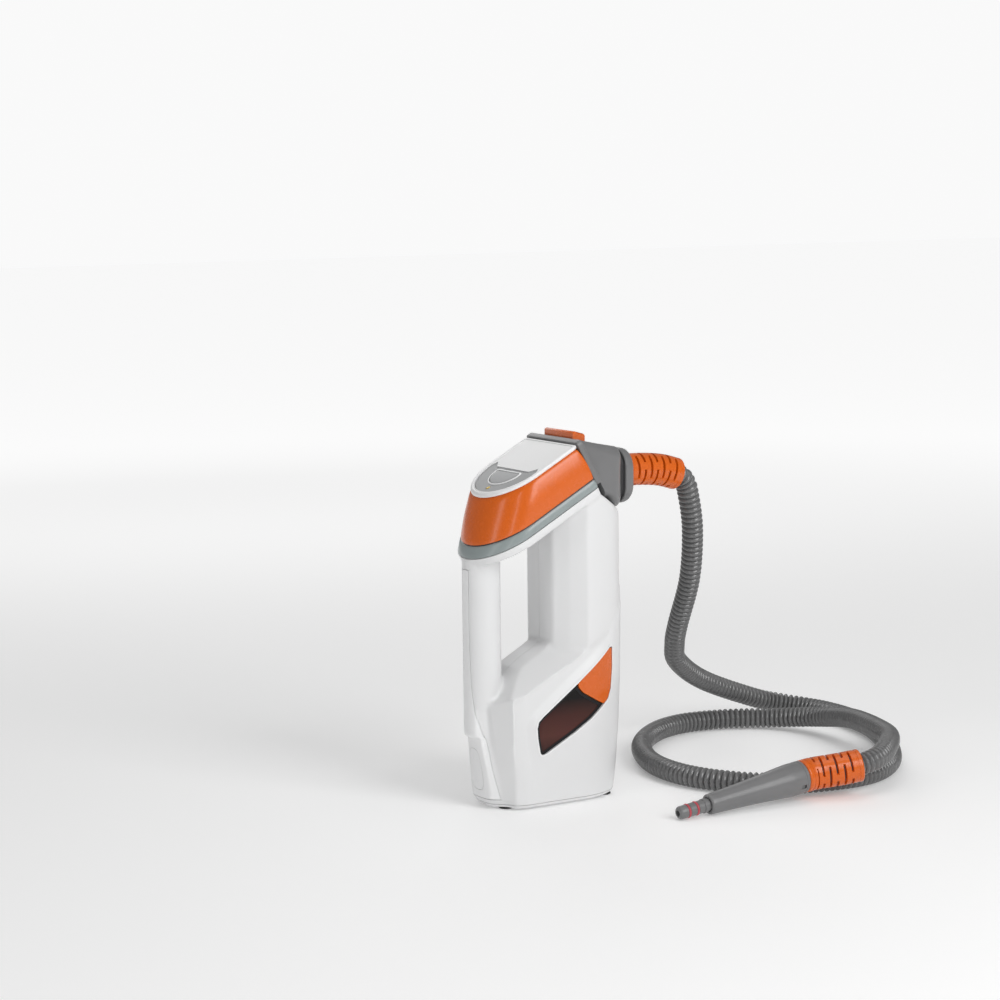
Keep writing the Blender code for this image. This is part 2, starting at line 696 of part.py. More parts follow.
adapter_gasket = loft("adapter_gasket", [rounded_ring(17.5, 242.5, 285.5, 12.0, upright(ADAPTER_BACK + GAP)),
                                         rounded_ring(17.5, 242.5, 285.5, 12.0, upright(62.7))])
adapter_collar = loft("adapter_collar", [rounded_ring(20.0, 240.8, 286.6, 15.0, upright(63.0)),
                                         rounded_ring(20.0, 240.8, 286.6, 15.0, upright(68.0)),
                                         rounded_ring(17.6, 244.0, 283.4, 14.0, upright(COLLAR_BACK))])
cut(adapter_gasket, outlet)
cut(adapter_collar, outlet)
cuff_room = cylinder("cuff_room", CUFF_RADIUS + GAP, (0, 68.4, PORT_Z), (0, 90, PORT_Z), CUTTERS)
cut(adapter_collar, cuff_room)

button_profile = [(10.0, 292.5), (22.0, 292.5), (22.0, 301.2), (20.6, 302.8), (12.4, 305.0), (10.0, 304.2)]
release_button = slab("release_button", button_profile, -21.8, 21.8, SIDE, (0, 0, 0))
spring_bore = cylinder("spring_bore", 4.2, (0, 16, 280), (0, 16, 298.5), CUTTERS)
cut(release_button, spring_bore)


def coil(centre, radius, height, turns, steps=9):
    """Points of an upright coil that starts at a centre."""
    points = []
    for i in range(int(turns * steps) + 1):
        angle = 2 * math.pi * i / steps
        points.append((centre[0] + radius * math.cos(angle), centre[1] + radius * math.sin(angle),
                       centre[2] + height * i / (turns * steps)))
    return points


release_spring = tube("release_spring", coil((0, 16, 288.8), 3.2, 6.0, 4), 0.4, 1)

# ------------------------------------------------------------ inner working

water_tank = box("water_tank", (-28.0, -28.0, 20.0), (28.0, 36.0, 107.0), PARTS, 5.0)
tank_room = box("tank_room", (-26.0, -26.0, 22.0), (26.0, 34.0, 105.0), CUTTERS, 4.0)
FILL_Y = 19.0
FILL_Z = 98.0
neck_outside = cylinder("neck_outside", 6.5, (20.0, FILL_Y, FILL_Z), (33.0, FILL_Y, FILL_Z), CUTTERS)
neck_inside = cylinder("neck_inside", 5.0, (15.0, FILL_Y, FILL_Z), (40.0, FILL_Y, FILL_Z), CUTTERS)
boolean(water_tank, neck_outside, "UNION")
cut(water_tank, tank_room, neck_inside)
fill_plug = turned("fill_plug", [(0, 0), (4.2, 0.2), (4.6, 0.8), (4.6, 6.0), (6.6, 6.1), (6.6, 7.6), (0, 7.8)],
                   (27.3, FILL_Y, FILL_Z), (1, 0, 0), 24)
boiler = turned("boiler", [(0, 0), (16, 0.5), (20, 4), (20, 61), (16, 65), (4.4, 65.6), (4.4, 70.0), (0, 70.2)],
                (0, 26, 141.0), (0, 0, 1), 32)
thermostat = turned("thermostat", [(0, 0), (7, 0), (7, 4), (4, 4.2), (4, 8), (0, 8)], (-9, 17, 206.6), (0, 0, 1), 20)
pump = turned("pump", [(0, 0), (8, 0.4), (9, 1.4), (9, 24), (5, 24.4), (5, 34), (0, 34.4)],
              (0, -2, 122.0), (0, 1, 0), 24)
feed_tube = tube("feed_tube", smooth_path([(0, -14, 107.3), (0, -14, 114), (0, -9, 121), (0, -2.4, 122)], 4.0), 1.6, 1)
steam_tube = tube("steam_tube", smooth_path([(0, 26, 211.6), (0, 26.5, 220), (0, 31, 230), (0, 37, 240),
                                             (0, 38, 248), (0, 38, 256.6)], 5.0), 2.6, 1)
boiler_tube = tube("boiler_tube", smooth_path([(0, 32.7, 122), (0, 44, 122), (0, 51, 127), (0, 52, 136),
                                               (0, 52, 151), (0, 51, 155), (0, 48.3, 156)], 4.0), 1.6, 1)
cord_gland = turned("cord_gland", [(3.0, 0), (5.0, 0), (5.0, 6.0), (7.2, 6.2), (7.2, 8.6), (6.6, 9.2),
                                   (3.0, 9.2), (3.0, 0)], (-31.2, 16, 24), (-1, 0, 0), 24)

# ------------------------------------------------------------ hose and ends

HOSE_ROUTE = [
    (0, 76, 267), (0, 100, 266.2), (0, 127, 260), (-1, 136, 253.5), (-3.5, 142, 242), (-14, 154, 209),
    (-38, 168, 162), (-70, 178, 116), (-88, 187, 94), (-106, 203, 74), (-134, 252, 46), (-145, 318, 20),
    (-140, 346, 12.5), (-122, 362, 9.6), (-96, 367, 9.6), (-62, 366, 9.6), (-19, 356, 9.6), (36, 328, 9.6),
    (83, 294, 9.6), (109, 262, 9.6), (119, 228, 9.6), (115, 190, 9.6), (104, 158, 9.6), (83, 134, 9.6),
    (50, 115, 9.6), (13, 109, 9.6), (-28, 117, 9.6), (-76, 143, 9.6), (-113, 182, 9.6), (-129, 222, 9.6),
    (-124, 264, 9.6), (-100, 303, 10.5), (-56, 322, 17), (0, 318, 26), (68, 297, 29.5), (98, 279, 29.5),
    (135, 238, 28.8), (142, 209, 25.6), (135.5, 193.5, 23.2), (129.5, 179, 21.4),
]
HOSE_PATH = smooth_path(HOSE_ROUTE, 19.0)
hose = tube("hose", HOSE_PATH, HOSE_RADIUS, 4)
hose_room = tube("hose_room", HOSE_PATH, HOSE_RADIUS + 0.5, 4, CUTTERS)


def hollow_cuff(name, route, radius, bore):
    """A sleeve around the end of the hose."""
    path = smooth_path(route, 8.0)
    piece = tube(name, path, radius, 8)
    start = path[0] + (path[0] - path[1]) * 0.5
    end = path[-1] + (path[-1] - path[-2]) * 0.5
    core = tube(name + "_core", [start] + path[1:-1] + [end], bore, 6, CUTTERS)
    cut(piece, core, hose_room)
    return piece


hose_cuff_top = hollow_cuff("hose_cuff_top", [(0, 68.8, 267), (0, 90, 266.7), (0, 110, 264.6), (0, 127, 260)],
                            CUFF_RADIUS, 10.2)

NOZZLE_WIDE = Vector((127.0, 162.0, 19.5))
NOZZLE_NARROW = Vector((125.5, 69.0, 9.0))
hose_cuff_end = hollow_cuff("hose_cuff_end", [(142.5, 211, 25.9), (135.5, 193.5, 23.2), (129.5, 179, 21.4),
                                              (127.2, 171, 20.5), (127.0, 162.5, 19.56)],
                            CUFF_RADIUS, 10.2)
nozzle_line = (NOZZLE_NARROW - NOZZLE_WIDE).normalized()
nozzle_length = (NOZZLE_NARROW - NOZZLE_WIDE).length
nozzle_shell = turned("nozzle_shell", [(11.0, 0), (13.4, 0), (13.4, 12), (8.2, nozzle_length - 1),
                                       (7.8, nozzle_length), (6.0, nozzle_length), (11.0, 12), (11.0, 0)],
                      NOZZLE_WIDE, nozzle_line)
connector_start = NOZZLE_WIDE + nozzle_line * (nozzle_length - 20)
nozzle_connector = turned("nozzle_connector", [(2.6, 0), (5.4, 0), (5.4, 31), (4.2, 31), (4.2, 33.4), (5.4, 33.4),
                                               (5.4, 39), (4.2, 39), (4.2, 41.4), (5.4, 41.4), (5.4, 47), (4.6, 49),
                                               (2.6, 49), (2.6, 0)], connector_start, nozzle_line)
for number, distance in enumerate((31.2, 39.2), 1):
    ring = turned("o_ring_%d" % number, ring_profile(5.9, 4.5, 2.0), connector_start + nozzle_line * distance,
                  nozzle_line)
    finish(ring, "seal_red", SEAL_RED, 0.5)

# ---------------------------------------------------------------- materials

LOOKS = [
    (("left_shell", "right_shell", "front_trim", "badge_plate", "base_cover", "neck_housing"),
     ("white_plastic", WHITE, 0.3)),
    (("head_skirt", "fill_door", "release_button", "hose_cuff_top", "hose_cuff_end"), ("orange_plastic", ORANGE, 0.35)),
    (("adapter_shell", "adapter_collar", "nozzle_shell", "nozzle_connector"), ("grey_plastic", GREY, 0.4)),
    (("top_panel",), ("panel_grey", PANEL_GREY, 0.35)),
    (("head_band", "control_bezel", "control_button"), ("band_grey", BAND_GREY, 0.4)),
    (("adapter_gasket", "port_seal", "cord_gland", "fill_plug"), ("rubber", RUBBER, 0.8)),
    (("tank_window", "indicator_lens"), ("smoked_clear", SMOKED, 0.1)),
    (("hose",), ("hose_grey", HOSE_GREY, 0.5)),
    (("water_tank",), ("tank_clear", TANK, 0.2)),
    (("boiler", "thermostat", "release_spring"), ("steel", STEEL, 0.3, 1.0)),
    (("steam_port",), ("brass", BRASS, 0.35, 1.0)),
    (("pump", "microswitch"), ("dark_plastic", DARK, 0.5)),
    (("feed_tube", "steam_tube", "boiler_tube"), ("silicone", (0.72, 0.70, 0.66), 0.5)),
    (("circuit_board",), ("board_green", BOARD, 0.45)),
]
for names, look in LOOKS:
    for name in names:
        finish(bpy.data.objects[name], *look)


def hinge_origin(thing, point):
    """Move an object's origin without moving its shape."""
    offset = Vector(point) * MM
    thing.data.transform(Matrix.Translation(-offset))
    thing.location = offset


hinge_origin(fill_door, (36.6, 37.6, 105.0))
hinge_origin(control_button, button_spring_seat)
hinge_origin(release_button, (0.0, 16.0, 298.5))

for part in PARTS.objects:
    part.location.y += CENTRE_SHIFT * MM
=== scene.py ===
import math

import bmesh
import bpy
import numpy as np
from mathutils import Matrix, Vector


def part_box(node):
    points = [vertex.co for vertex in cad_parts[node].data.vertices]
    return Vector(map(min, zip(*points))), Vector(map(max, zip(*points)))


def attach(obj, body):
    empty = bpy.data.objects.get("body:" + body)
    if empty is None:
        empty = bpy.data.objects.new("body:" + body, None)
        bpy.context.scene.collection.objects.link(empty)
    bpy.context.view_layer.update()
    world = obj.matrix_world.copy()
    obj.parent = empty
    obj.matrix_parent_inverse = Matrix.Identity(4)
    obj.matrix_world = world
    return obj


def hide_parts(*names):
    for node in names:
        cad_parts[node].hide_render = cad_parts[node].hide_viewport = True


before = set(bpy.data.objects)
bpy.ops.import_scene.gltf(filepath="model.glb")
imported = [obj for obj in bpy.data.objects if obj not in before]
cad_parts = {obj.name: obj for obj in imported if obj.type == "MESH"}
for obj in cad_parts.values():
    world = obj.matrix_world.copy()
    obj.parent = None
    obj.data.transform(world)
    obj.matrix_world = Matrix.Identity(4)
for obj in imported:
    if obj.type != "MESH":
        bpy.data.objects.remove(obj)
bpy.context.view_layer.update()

# Lengths are in mm, apart from the camera, the lights, the floor and the textures
MM = 0.001
PER_METRE = 1000
COVER_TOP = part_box("base_cover")[1][2] * PER_METRE
TRIM_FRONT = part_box("front_trim")[0][1] * PER_METRE

# Shapes are worked out in a design frame whose origin is inside the handle's loop; the CAD
# puts the unit's footprint box over the origin, so everything moves back by this much.
FRONT_Y = -80.6
SHIFT = Vector((0.0, TRIM_FRONT - FRONT_Y, 0.0))
SHIFT_ROW = np.array(tuple(SHIFT))

# The slanted head has its own frame: U runs up the slope, N stands square to it
SLOPE = math.radians(28.5)
HEAD_ORIGIN = Vector((0.0, -3.0, 247.0))
HEAD_U = Vector((0.0, math.cos(SLOPE), math.sin(SLOPE)))
HEAD_N = Vector((0.0, -math.sin(SLOPE), math.cos(SLOPE)))
HEAD_BACK = 28.5
HEAD_HEIGHT = 40.0
LIP = 7.0                   # how far the casing's top plate hangs below the head

HANDLE_RADIUS = 15.6
HANDLE_Y = FRONT_Y + HANDLE_RADIUS
COLUMN_FRONT = -10.0
COLUMN_HALF = 40.5
ARC_Y = 12.0                # centre of the arc that rounds the casing's back
PORT_Z = 267.0              # height of the steam port and the start of the hose
COLLAR_BACK = 72.0          # where the hose leaves the collar
SMOOTH = 30.0               # an edge sharper than this many degrees shows as an edge
CUT_SMOOTH = 35.0           # the same, on pieces cut from the casing


# ------------------------------------------------------------------- camera

CAMERA_AT = Vector((1.7379, -1.0951, 0.5150)) + SHIFT * MM
YAW, PITCH, ROLL = math.radians(58.891), math.radians(7.409), math.radians(-0.674)
back = Vector((math.sin(YAW) * math.cos(PITCH), -math.cos(YAW) * math.cos(PITCH), math.sin(PITCH)))
level = Vector((math.cos(YAW), math.sin(YAW), 0.0))
upright = back.cross(level)
right = level * math.cos(ROLL) + upright * math.sin(ROLL)
upward = upright * math.cos(ROLL) - level * math.sin(ROLL)
turn = Matrix((right, upward, back)).transposed().to_4x4()
turn.translation = CAMERA_AT
camera_data = bpy.data.cameras.new("camera")
camera_data.lens = 91.185
camera_data.sensor_width = 36.0
camera_data.clip_start = 0.05
camera_data.clip_end = 60.0
camera = bpy.data.objects.new("camera", camera_data)
camera.matrix_world = turn
bpy.context.scene.collection.objects.link(camera)
bpy.context.scene.camera = camera


# ---------------------------------------------------------------- materials

def node(tree, kind, **values):
    made = tree.nodes.new(kind)
    for name, value in values.items():
        setattr(made, name, value)
    return made


def noise(tree, scale, detail, rough=0.5):
    place = tree.nodes.get("Place") or node(tree, "ShaderNodeTexCoord", name="Place")
    made = node(tree, "ShaderNodeTexNoise")
    made.inputs["Scale"].default_value = scale
    made.inputs["Detail"].default_value = detail
    made.inputs["Roughness"].default_value = rough
    tree.links.new(place.outputs["Object"], made.inputs["Vector"])
    return made


def ramp(tree, source, stops):
    made = tree.nodes.new("ShaderNodeValToRGB")
    elements = made.color_ramp.elements
    while len(elements) < len(stops):
        elements.new(0.5)
    for element, (place, colour) in zip(elements, stops):
        element.position = place
        element.color = (*colour, 1.0)
    tree.links.new(source, made.inputs["Fac"])
    return made


def spread(tree, source, low, high):
    made = tree.nodes.new("ShaderNodeMapRange")
    made.inputs["To Min"].default_value = low
    made.inputs["To Max"].default_value = high
    tree.links.new(source, made.inputs["Value"])
    return made


def scaled(colour, k):
    return tuple(min(1.0, c * k) for c in colour)


LOOKS = {}


def plastic(name, colour, rough, coat=0.0, grain=700.0, grain_depth=0.006, mottle=0.03,
            sheen_spread=0.05, metallic=0.0, subsurface=0.0, specular=0.5, specks=0.15):
    """Moulded plastic or rubber: flow mottling, uneven gloss, fine grain and faint darker specks."""
    made = bpy.data.materials.new(name)
    made.use_nodes = True
    tree = made.node_tree
    shader = tree.nodes["Principled BSDF"]
    cloud = noise(tree, 38.0, 4.0, 0.55)
    shade = ramp(tree, cloud.outputs["Fac"], [(0.25, scaled(colour, 1.0 - mottle)), (0.5, colour),
                                              (0.78, scaled(colour, 1.0 + mottle))])
    dust = noise(tree, 2200.0, 2.0, 0.6)
    dots = ramp(tree, dust.outputs["Fac"], [(0.0, (1, 1, 1)), (0.74, (1, 1, 1)), (0.86, (0.9, 0.9, 0.9))])
    tint = node(tree, "ShaderNodeMix", data_type="RGBA", blend_type="MULTIPLY")
    tint.inputs["Factor"].default_value = specks
    tree.links.new(shade.outputs["Color"], tint.inputs["A"])
    tree.links.new(dots.outputs["Color"], tint.inputs["B"])
    tree.links.new(tint.outputs["Result"], shader.inputs["Base Color"])
    wear = noise(tree, 120.0, 5.0, 0.65)
    gloss = spread(tree, wear.outputs["Fac"], max(0.02, rough - sheen_spread), rough + sheen_spread)
    tree.links.new(gloss.outputs["Result"], shader.inputs["Roughness"])
    texture = noise(tree, grain, 3.0, 0.6)
    bump = tree.nodes.new("ShaderNodeBump")
    bump.inputs["Strength"].default_value = 0.25
    bump.inputs["Distance"].default_value = grain_depth * MM
    tree.links.new(texture.outputs["Fac"], bump.inputs["Height"])
    tree.links.new(bump.outputs["Normal"], shader.inputs["Normal"])
    shader.inputs["Metallic"].default_value = metallic
    shader.inputs["Specular IOR Level"].default_value = specular
    shader.inputs["Coat Weight"].default_value = coat
    shader.inputs["Coat Roughness"].default_value = 0.12
    if subsurface:
        shader.inputs["Subsurface Weight"].default_value = subsurface
        shader.inputs["Subsurface Scale"].default_value = 0.002
    made.diffuse_color = (*colour, 1.0)
    LOOKS[name] = made
    return made


plastic("white_plastic", (0.74, 0.742, 0.745), 0.36, mottle=0.004, sheen_spread=0.02)
plastic("trim_white", (0.82, 0.822, 0.825), 0.3, mottle=0.004, sheen_spread=0.02)
plastic("orange_plastic", (0.66, 0.115, 0.004), 0.27, 0.25, specular=0.4, specks=0.05)
plastic("grey_plastic", (0.165, 0.165, 0.167), 0.36, 0.15, mottle=0.05, grain_depth=0.03)
plastic("panel_grey", (0.80, 0.80, 0.80), 0.35, 0.15, mottle=0.005, sheen_spread=0.03)
plastic("band_grey", (0.27, 0.31, 0.31), 0.33, 0.25, mottle=0.05)
plastic("rubber", (0.022, 0.022, 0.023), 0.62, 0.0, 500.0, 0.06, 0.12, 0.08)
plastic("gasket", (0.030, 0.030, 0.031), 0.5, 0.0, 500.0, 0.05, 0.1, 0.08)
plastic("hose_grey", (0.13, 0.13, 0.131), 0.26, 0.4, 700.0, 0.04, 0.1, 0.08)
plastic("tank_clear", (0.55, 0.62, 0.65), 0.22, 0.2, mottle=0.03)
plastic("steel", (0.55, 0.55, 0.57), 0.3, 0.0, 300.0, 0.02, 0.06, 0.08, 1.0)
plastic("brass", (0.60, 0.42, 0.16), 0.3, 0.0, 300.0, 0.02, 0.06, 0.08, 1.0)
plastic("dark_plastic", (0.028, 0.028, 0.03), 0.4, 0.1, mottle=0.08)
plastic("silicone", (0.66, 0.64, 0.60), 0.5, 0.0, mottle=0.03, subsurface=0.2)
plastic("board_green", (0.018, 0.15, 0.05), 0.4, 0.2, 200.0, 0.05, 0.15)
plastic("seal_red", (0.55, 0.075, 0.10), 0.4, 0.1, mottle=0.08)
plastic("button_grey", (0.27, 0.275, 0.28), 0.38, 0.1, mottle=0.03)


def smoked():
    """Smoked clear plastic, very dark, with a brownish glow of light painted across it low down."""
    made = plastic("smoked_clear", (0.010, 0.008, 0.008), 0.2, 0.0, mottle=0.2, sheen_spread=0.03,
                   specular=0.2)
    tree = made.node_tree
    shader = tree.nodes["Principled BSDF"]
    split = tree.nodes.new("ShaderNodeSeparateXYZ")
    tree.links.new(tree.nodes["Place"].outputs["Object"], split.inputs["Vector"])
    height = tree.nodes.new("ShaderNodeMapRange")
    height.inputs["From Min"].default_value = 0.040
    height.inputs["From Max"].default_value = 0.100
    tree.links.new(split.outputs["Z"], height.inputs["Value"])
    # Painted light: a brownish glow band, brightest about 60 mm up, dark above and below
    glow = ramp(tree, height.outputs["Result"], [(0.0, (0.012, 0.009, 0.009)), (0.34, (0.095, 0.030, 0.024)),
                                                 (0.6, (0.060, 0.019, 0.015)), (0.82, (0.006, 0.005, 0.005))])
    cloud = noise(tree, 30.0, 2.0)
    mix = node(tree, "ShaderNodeMix", data_type="RGBA", blend_type="MULTIPLY")
    mix.inputs["Factor"].default_value = 0.25
    tree.links.new(glow.outputs["Color"], mix.inputs["A"])
    tree.links.new(cloud.outputs["Color"], mix.inputs["B"])
    tree.links.new(mix.outputs["Result"], shader.inputs["Base Color"])


smoked()
plastic("border_black", (0.010, 0.010, 0.011), 0.45, 0.0, mottle=0.1, specular=0.25)
plastic("lens", (0.62, 0.42, 0.05), 0.15, 0.6, mottle=0.1)


# ------------------------------------------------------------ mesh building

def keep(name, mesh):
    thing = bpy.data.objects.new(name, mesh)
    bpy.context.scene.collection.objects.link(thing)
    return thing


def from_bmesh(name, bm):
    mesh = bpy.data.meshes.new(name)
    bm.to_mesh(mesh)
    bm.free()
    return keep(name, mesh)


def drop(*things):
    for thing in things:
        mesh = thing.data
        bpy.data.objects.remove(thing, do_unlink=True)
        if mesh.users == 0:
            bpy.data.meshes.remove(mesh)


WELD = 0.000002             # points closer than this, in metres, become one


def settle(thing):
    """Apply the modifiers and weld what they leave."""
    graph = bpy.context.evaluated_depsgraph_get()
    mesh = bpy.data.meshes.new_from_object(thing.evaluated_get(graph))
    bm = bmesh.new()
    bm.from_mesh(mesh)
    bmesh.ops.remove_doubles(bm, verts=bm.verts, dist=WELD)
    bmesh.ops.dissolve_degenerate(bm, edges=bm.edges, dist=WELD)
    bm.to_mesh(mesh)
    bm.free()
    old = thing.data
    thing.modifiers.clear()
    thing.data = mesh
    bpy.data.meshes.remove(old)


def copy_of(name, thing):
    return keep(name, thing.data.copy())


def loft(name, rings, caps=True):
    """A skin through rings with equal point counts."""
    bm = bmesh.new()
    rows = [[bm.verts.new((Vector(point) + SHIFT) * MM) for point in ring] for ring in rings]
    count = len(rows[0])
    for lower, upper in zip(rows, rows[1:]):
        for i in range(count):
            j = (i + 1) % count
            bm.faces.new((lower[i], lower[j], upper[j], upper[i]))
    if caps:
        bm.faces.new(list(reversed(rows[0])))
        bm.faces.new(rows[-1])
    bmesh.ops.remove_doubles(bm, verts=bm.verts, dist=WELD)
    bmesh.ops.recalc_face_normals(bm, faces=bm.faces)
    return from_bmesh(name, bm)


def prism(name, outline, low, high, axes, origin=(0, 0, 0)):
    """An outline, given along the first two axes, pushed from low to high along the third."""
    across, up, out = (Vector(axis) for axis in axes)
    origin = Vector(origin)
    rings = [[origin + across * a + up * b + out * reach for a, b in outline] for reach in (low, high)]
    return loft(name, rings)


SIDE = ((0, 1, 0), (0, 0, 1), (1, 0, 0))
FRONT = ((-1, 0, 0), (0, 0, 1), (0, 1, 0))
HEAD = ((1, 0, 0), HEAD_U, HEAD_N)


def block(name, low, high):
    outline = [(low[0], low[1]), (high[0], low[1]), (high[0], high[1]), (low[0], high[1])]
    return prism(name, outline, low[2], high[2], ((1, 0, 0), (0, 1, 0), (0, 0, 1)))


def inset(outline, distance):
    """The outline moved inwards, or outwards where the distance is negative."""
    area = sum(a[0] * b[1] - b[0] * a[1] for a, b in zip(outline, outline[1:] + outline[:1]))
    side = 1.0 if area > 0 else -1.0
    moved = []
    for i in range(len(outline)):
        before, here = Vector(outline[i - 1]), Vector(outline[i])
        after = Vector(outline[(i + 1) % len(outline)])
        first, second = (here - before).normalized(), (after - here).normalized()
        normal_a = Vector((-first.y, first.x)) * side
        normal_b = Vector((-second.y, second.x)) * side
        mean = (normal_a + normal_b).normalized()
        moved.append(tuple(here + mean * (distance / max(0.3, mean.dot(normal_a)))))
    return moved


def rounded(outline, passes, amount):
    """The outline with its corners cut off again and again."""
    for _ in range(passes):
        made = []
        for a, b in zip(outline, outline[1:] + outline[:1]):
            a, b = Vector(a), Vector(b)
            made += [tuple(a.lerp(b, amount)), tuple(a.lerp(b, 1.0 - amount))]
        outline = made
    return outline


def coordinates(thing):
    data = np.empty(len(thing.data.vertices) * 3)
    thing.data.vertices.foreach_get("co", data)
    return data.reshape(-1, 3) * PER_METRE - SHIFT_ROW


def normals(thing):
    data = np.empty(len(thing.data.vertices) * 3)
    thing.data.vertices.foreach_get("normal", data)
    return data.reshape(-1, 3)


def move_to(thing, points):
    thing.data.vertices.foreach_set("co", ((points + SHIFT_ROW) * MM).ravel())
    thing.data.update()


def finish_piece(thing, look, body="unit", nodes=(), angle=SMOOTH):
    thing.data.materials.clear()
    thing.data.materials.append(LOOKS[look])
    thing.data.shade_smooth()
    thing.data.set_sharp_from_angle(angle=math.radians(angle))
    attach(thing, body)
    if nodes:
        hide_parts(*nodes)


def mirrored(half):
    return half + [(-x, y) for x, y in reversed(half[1:-1])]


CURVE_STEPS = 24


def smooth_path(route, spacing):
    """Evenly spaced points on a smooth curve through the route points."""
    points = [Vector(point) for point in route]
    points = [points[0] * 2 - points[1]] + points + [points[-1] * 2 - points[-2]]
    fine = []
    for i in range(1, len(points) - 2):
        p0, p1, p2, p3 = points[i - 1:i + 3]
        for step in range(CURVE_STEPS):
            s = step / CURVE_STEPS
            fine.append(0.5 * ((2 * p1) + (p2 - p0) * s + (2 * p0 - 5 * p1 + 4 * p2 - p3) * s ** 2
                               + (3 * p1 - p0 - 3 * p2 + p3) * s ** 3))
    fine.append(points[-2].copy())
    fine = np.array([tuple(p) for p in fine])
    steps = np.linalg.norm(np.diff(fine, axis=0), axis=1)
    along = np.concatenate([[0.0], np.cumsum(steps)])
    count = max(2, round(along[-1] / spacing))
    places = np.linspace(0.0, along[-1], count + 1)
    return np.stack([np.interp(places, along, fine[:, k]) for k in range(3)], axis=1), along[-1]


def swept(name, path, radius_at, segments):
    """A round skin along a path; radius_at(distance, angles) gives the radii of a ring."""
    steps = np.diff(path, axis=0)
    lengths = np.linalg.norm(steps, axis=1)
    along = np.concatenate([[0.0], np.cumsum(lengths)])
    tangents = np.empty_like(path)
    tangents[0], tangents[-1] = steps[0], steps[-1]
    tangents[1:-1] = steps[1:] / lengths[1:, None] + steps[:-1] / lengths[:-1, None]
    tangents /= np.linalg.norm(tangents, axis=1)[:, None]
    across = np.cross(tangents[0], [0.0, 0.0, 1.0])
    if np.linalg.norm(across) < 0.1:
        across = np.cross(tangents[0], [1.0, 0.0, 0.0])
    angles = np.arange(segments) * 2 * math.pi / segments
    rings = []
    for point, tangent, distance in zip(path, tangents, along):
        across = across - tangent * across.dot(tangent)
        across /= np.linalg.norm(across)
        other = np.cross(tangent, across)
        radii = radius_at(distance, angles)
        rings.append(point + np.outer(np.cos(angles) * radii, across)
                     + np.outer(np.sin(angles) * radii, other))
    return loft(name, rings)


def turned(name, profile, start, direction, segments=64, closed=False):
    """A profile of (radius, distance) pairs turned about a line."""
    direction = Vector(direction).normalized()
    across = direction.orthogonal().normalized()
    other = direction.cross(across)
    start = Vector(start)
    rings = []
    for radius, distance in profile:
        radius = max(radius, 0.0005)
        ring = []
        for i in range(segments):
            angle = 2 * math.pi * i / segments
            outwards = across * math.cos(angle) + other * math.sin(angle)
            ring.append(start + direction * distance + outwards * radius)
        rings.append(ring)
    if closed:
        rings.append(rings[0])
    return loft(name, rings, not closed)


def fuse(thing, tool, operation="DIFFERENCE", spare=True):
    """A boolean on closed meshes; the tool goes unless it is still needed."""
    modifier = thing.modifiers.new("cut", "BOOLEAN")
    modifier.operation = operation
    modifier.solver = "MANIFOLD"
    modifier.object = tool
    settle(thing)
    if not spare:
        drop(tool)


def relax(thing, rounds, pull=0.5):
    """Move each point towards the mean of its neighbours."""
    mesh = thing.data
    pairs = np.empty(len(mesh.edges) * 2, dtype=np.int64)
    mesh.edges.foreach_get("vertices", pairs)
    a, b = pairs[0::2], pairs[1::2]
    count = len(mesh.vertices)
    degree = np.maximum(np.bincount(a, minlength=count) + np.bincount(b, minlength=count), 1)
    points = coordinates(thing)
    for _ in range(rounds):
        mean = np.empty_like(points)
        for k in range(3):
            total = np.bincount(a, points[b, k], count) + np.bincount(b, points[a, k], count)
            mean[:, k] = total / degree
        points += (mean - points) * pull
    move_to(thing, points)


def smoothstep(low, high, values):
    share = np.clip((values - low) / (high - low), 0.0, 1.0)
    return share * share * (3.0 - 2.0 * share)


# --------------------------------------------------------------------- hose

HOSE_ROUTE = [
    (0, 76, 267), (0, 100, 266.2), (0, 127, 260), (-1, 136, 253.5), (-3.5, 142, 242), (-14, 154, 209),
    (-38, 168, 162), (-70, 178, 116), (-88, 187, 94), (-106, 203, 74), (-134, 252, 46), (-145, 318, 20),
    (-140, 346, 12.5), (-122, 362, 9.6), (-96, 367, 9.6), (-62, 366, 9.6), (-19, 356, 9.6), (36, 328, 9.6),
    (83, 294, 9.6), (109, 262, 9.6), (119, 228, 9.6), (115, 190, 9.6), (104, 158, 9.6), (83, 134, 9.6),
    (50, 115, 9.6), (13, 109, 9.6), (-28, 117, 9.6), (-76, 143, 9.6), (-113, 182, 9.6), (-129, 222, 9.6),
    (-124, 264, 9.6), (-100, 303, 10.5), (-56, 322, 17), (0, 318, 26), (68, 297, 29.5), (98, 279, 29.5),
    (135, 238, 28.8), (142, 209, 25.6), (135.5, 193.5, 23.2), (129.5, 179, 21.4),
]
HOSE_RADIUS = 9.25
RIB_DEPTH = 2.5
RIB_PITCH = 5.0
STEPS_A_RIB = 8
HOSE_SEGMENTS = 28


def rib_radius(distance, angles):
    """Round ridges with narrow valleys between them."""
    wave = abs(math.cos(math.pi * distance / RIB_PITCH))
    return np.full(len(angles), HOSE_RADIUS - RIB_DEPTH * (1.0 - wave ** 0.8))


hose_path, HOSE_LENGTH = smooth_path(HOSE_ROUTE, RIB_PITCH / STEPS_A_RIB)
hose = swept("steam_hose", hose_path, rib_radius, HOSE_SEGMENTS)
finish_piece(hose, "hose_grey", nodes=("hose",), angle=60.0)

CUFF_RADIUS = 13.5
SLOT_PITCH = 6.2
SLOT_WIDTH = 1.7
SLOT_DEPTH = 2.6
SLOT_ANGLE = math.radians(88)
SLOT_TURN = 2 * math.pi / 3     # three slits a row
PAINTED_SLIT_SHADE = (0.62, 1.3)        # where a slit's floor is painted dark as shade, in slot depths
CUFF_SPACING, CUFF_SEGMENTS = 0.42, 108


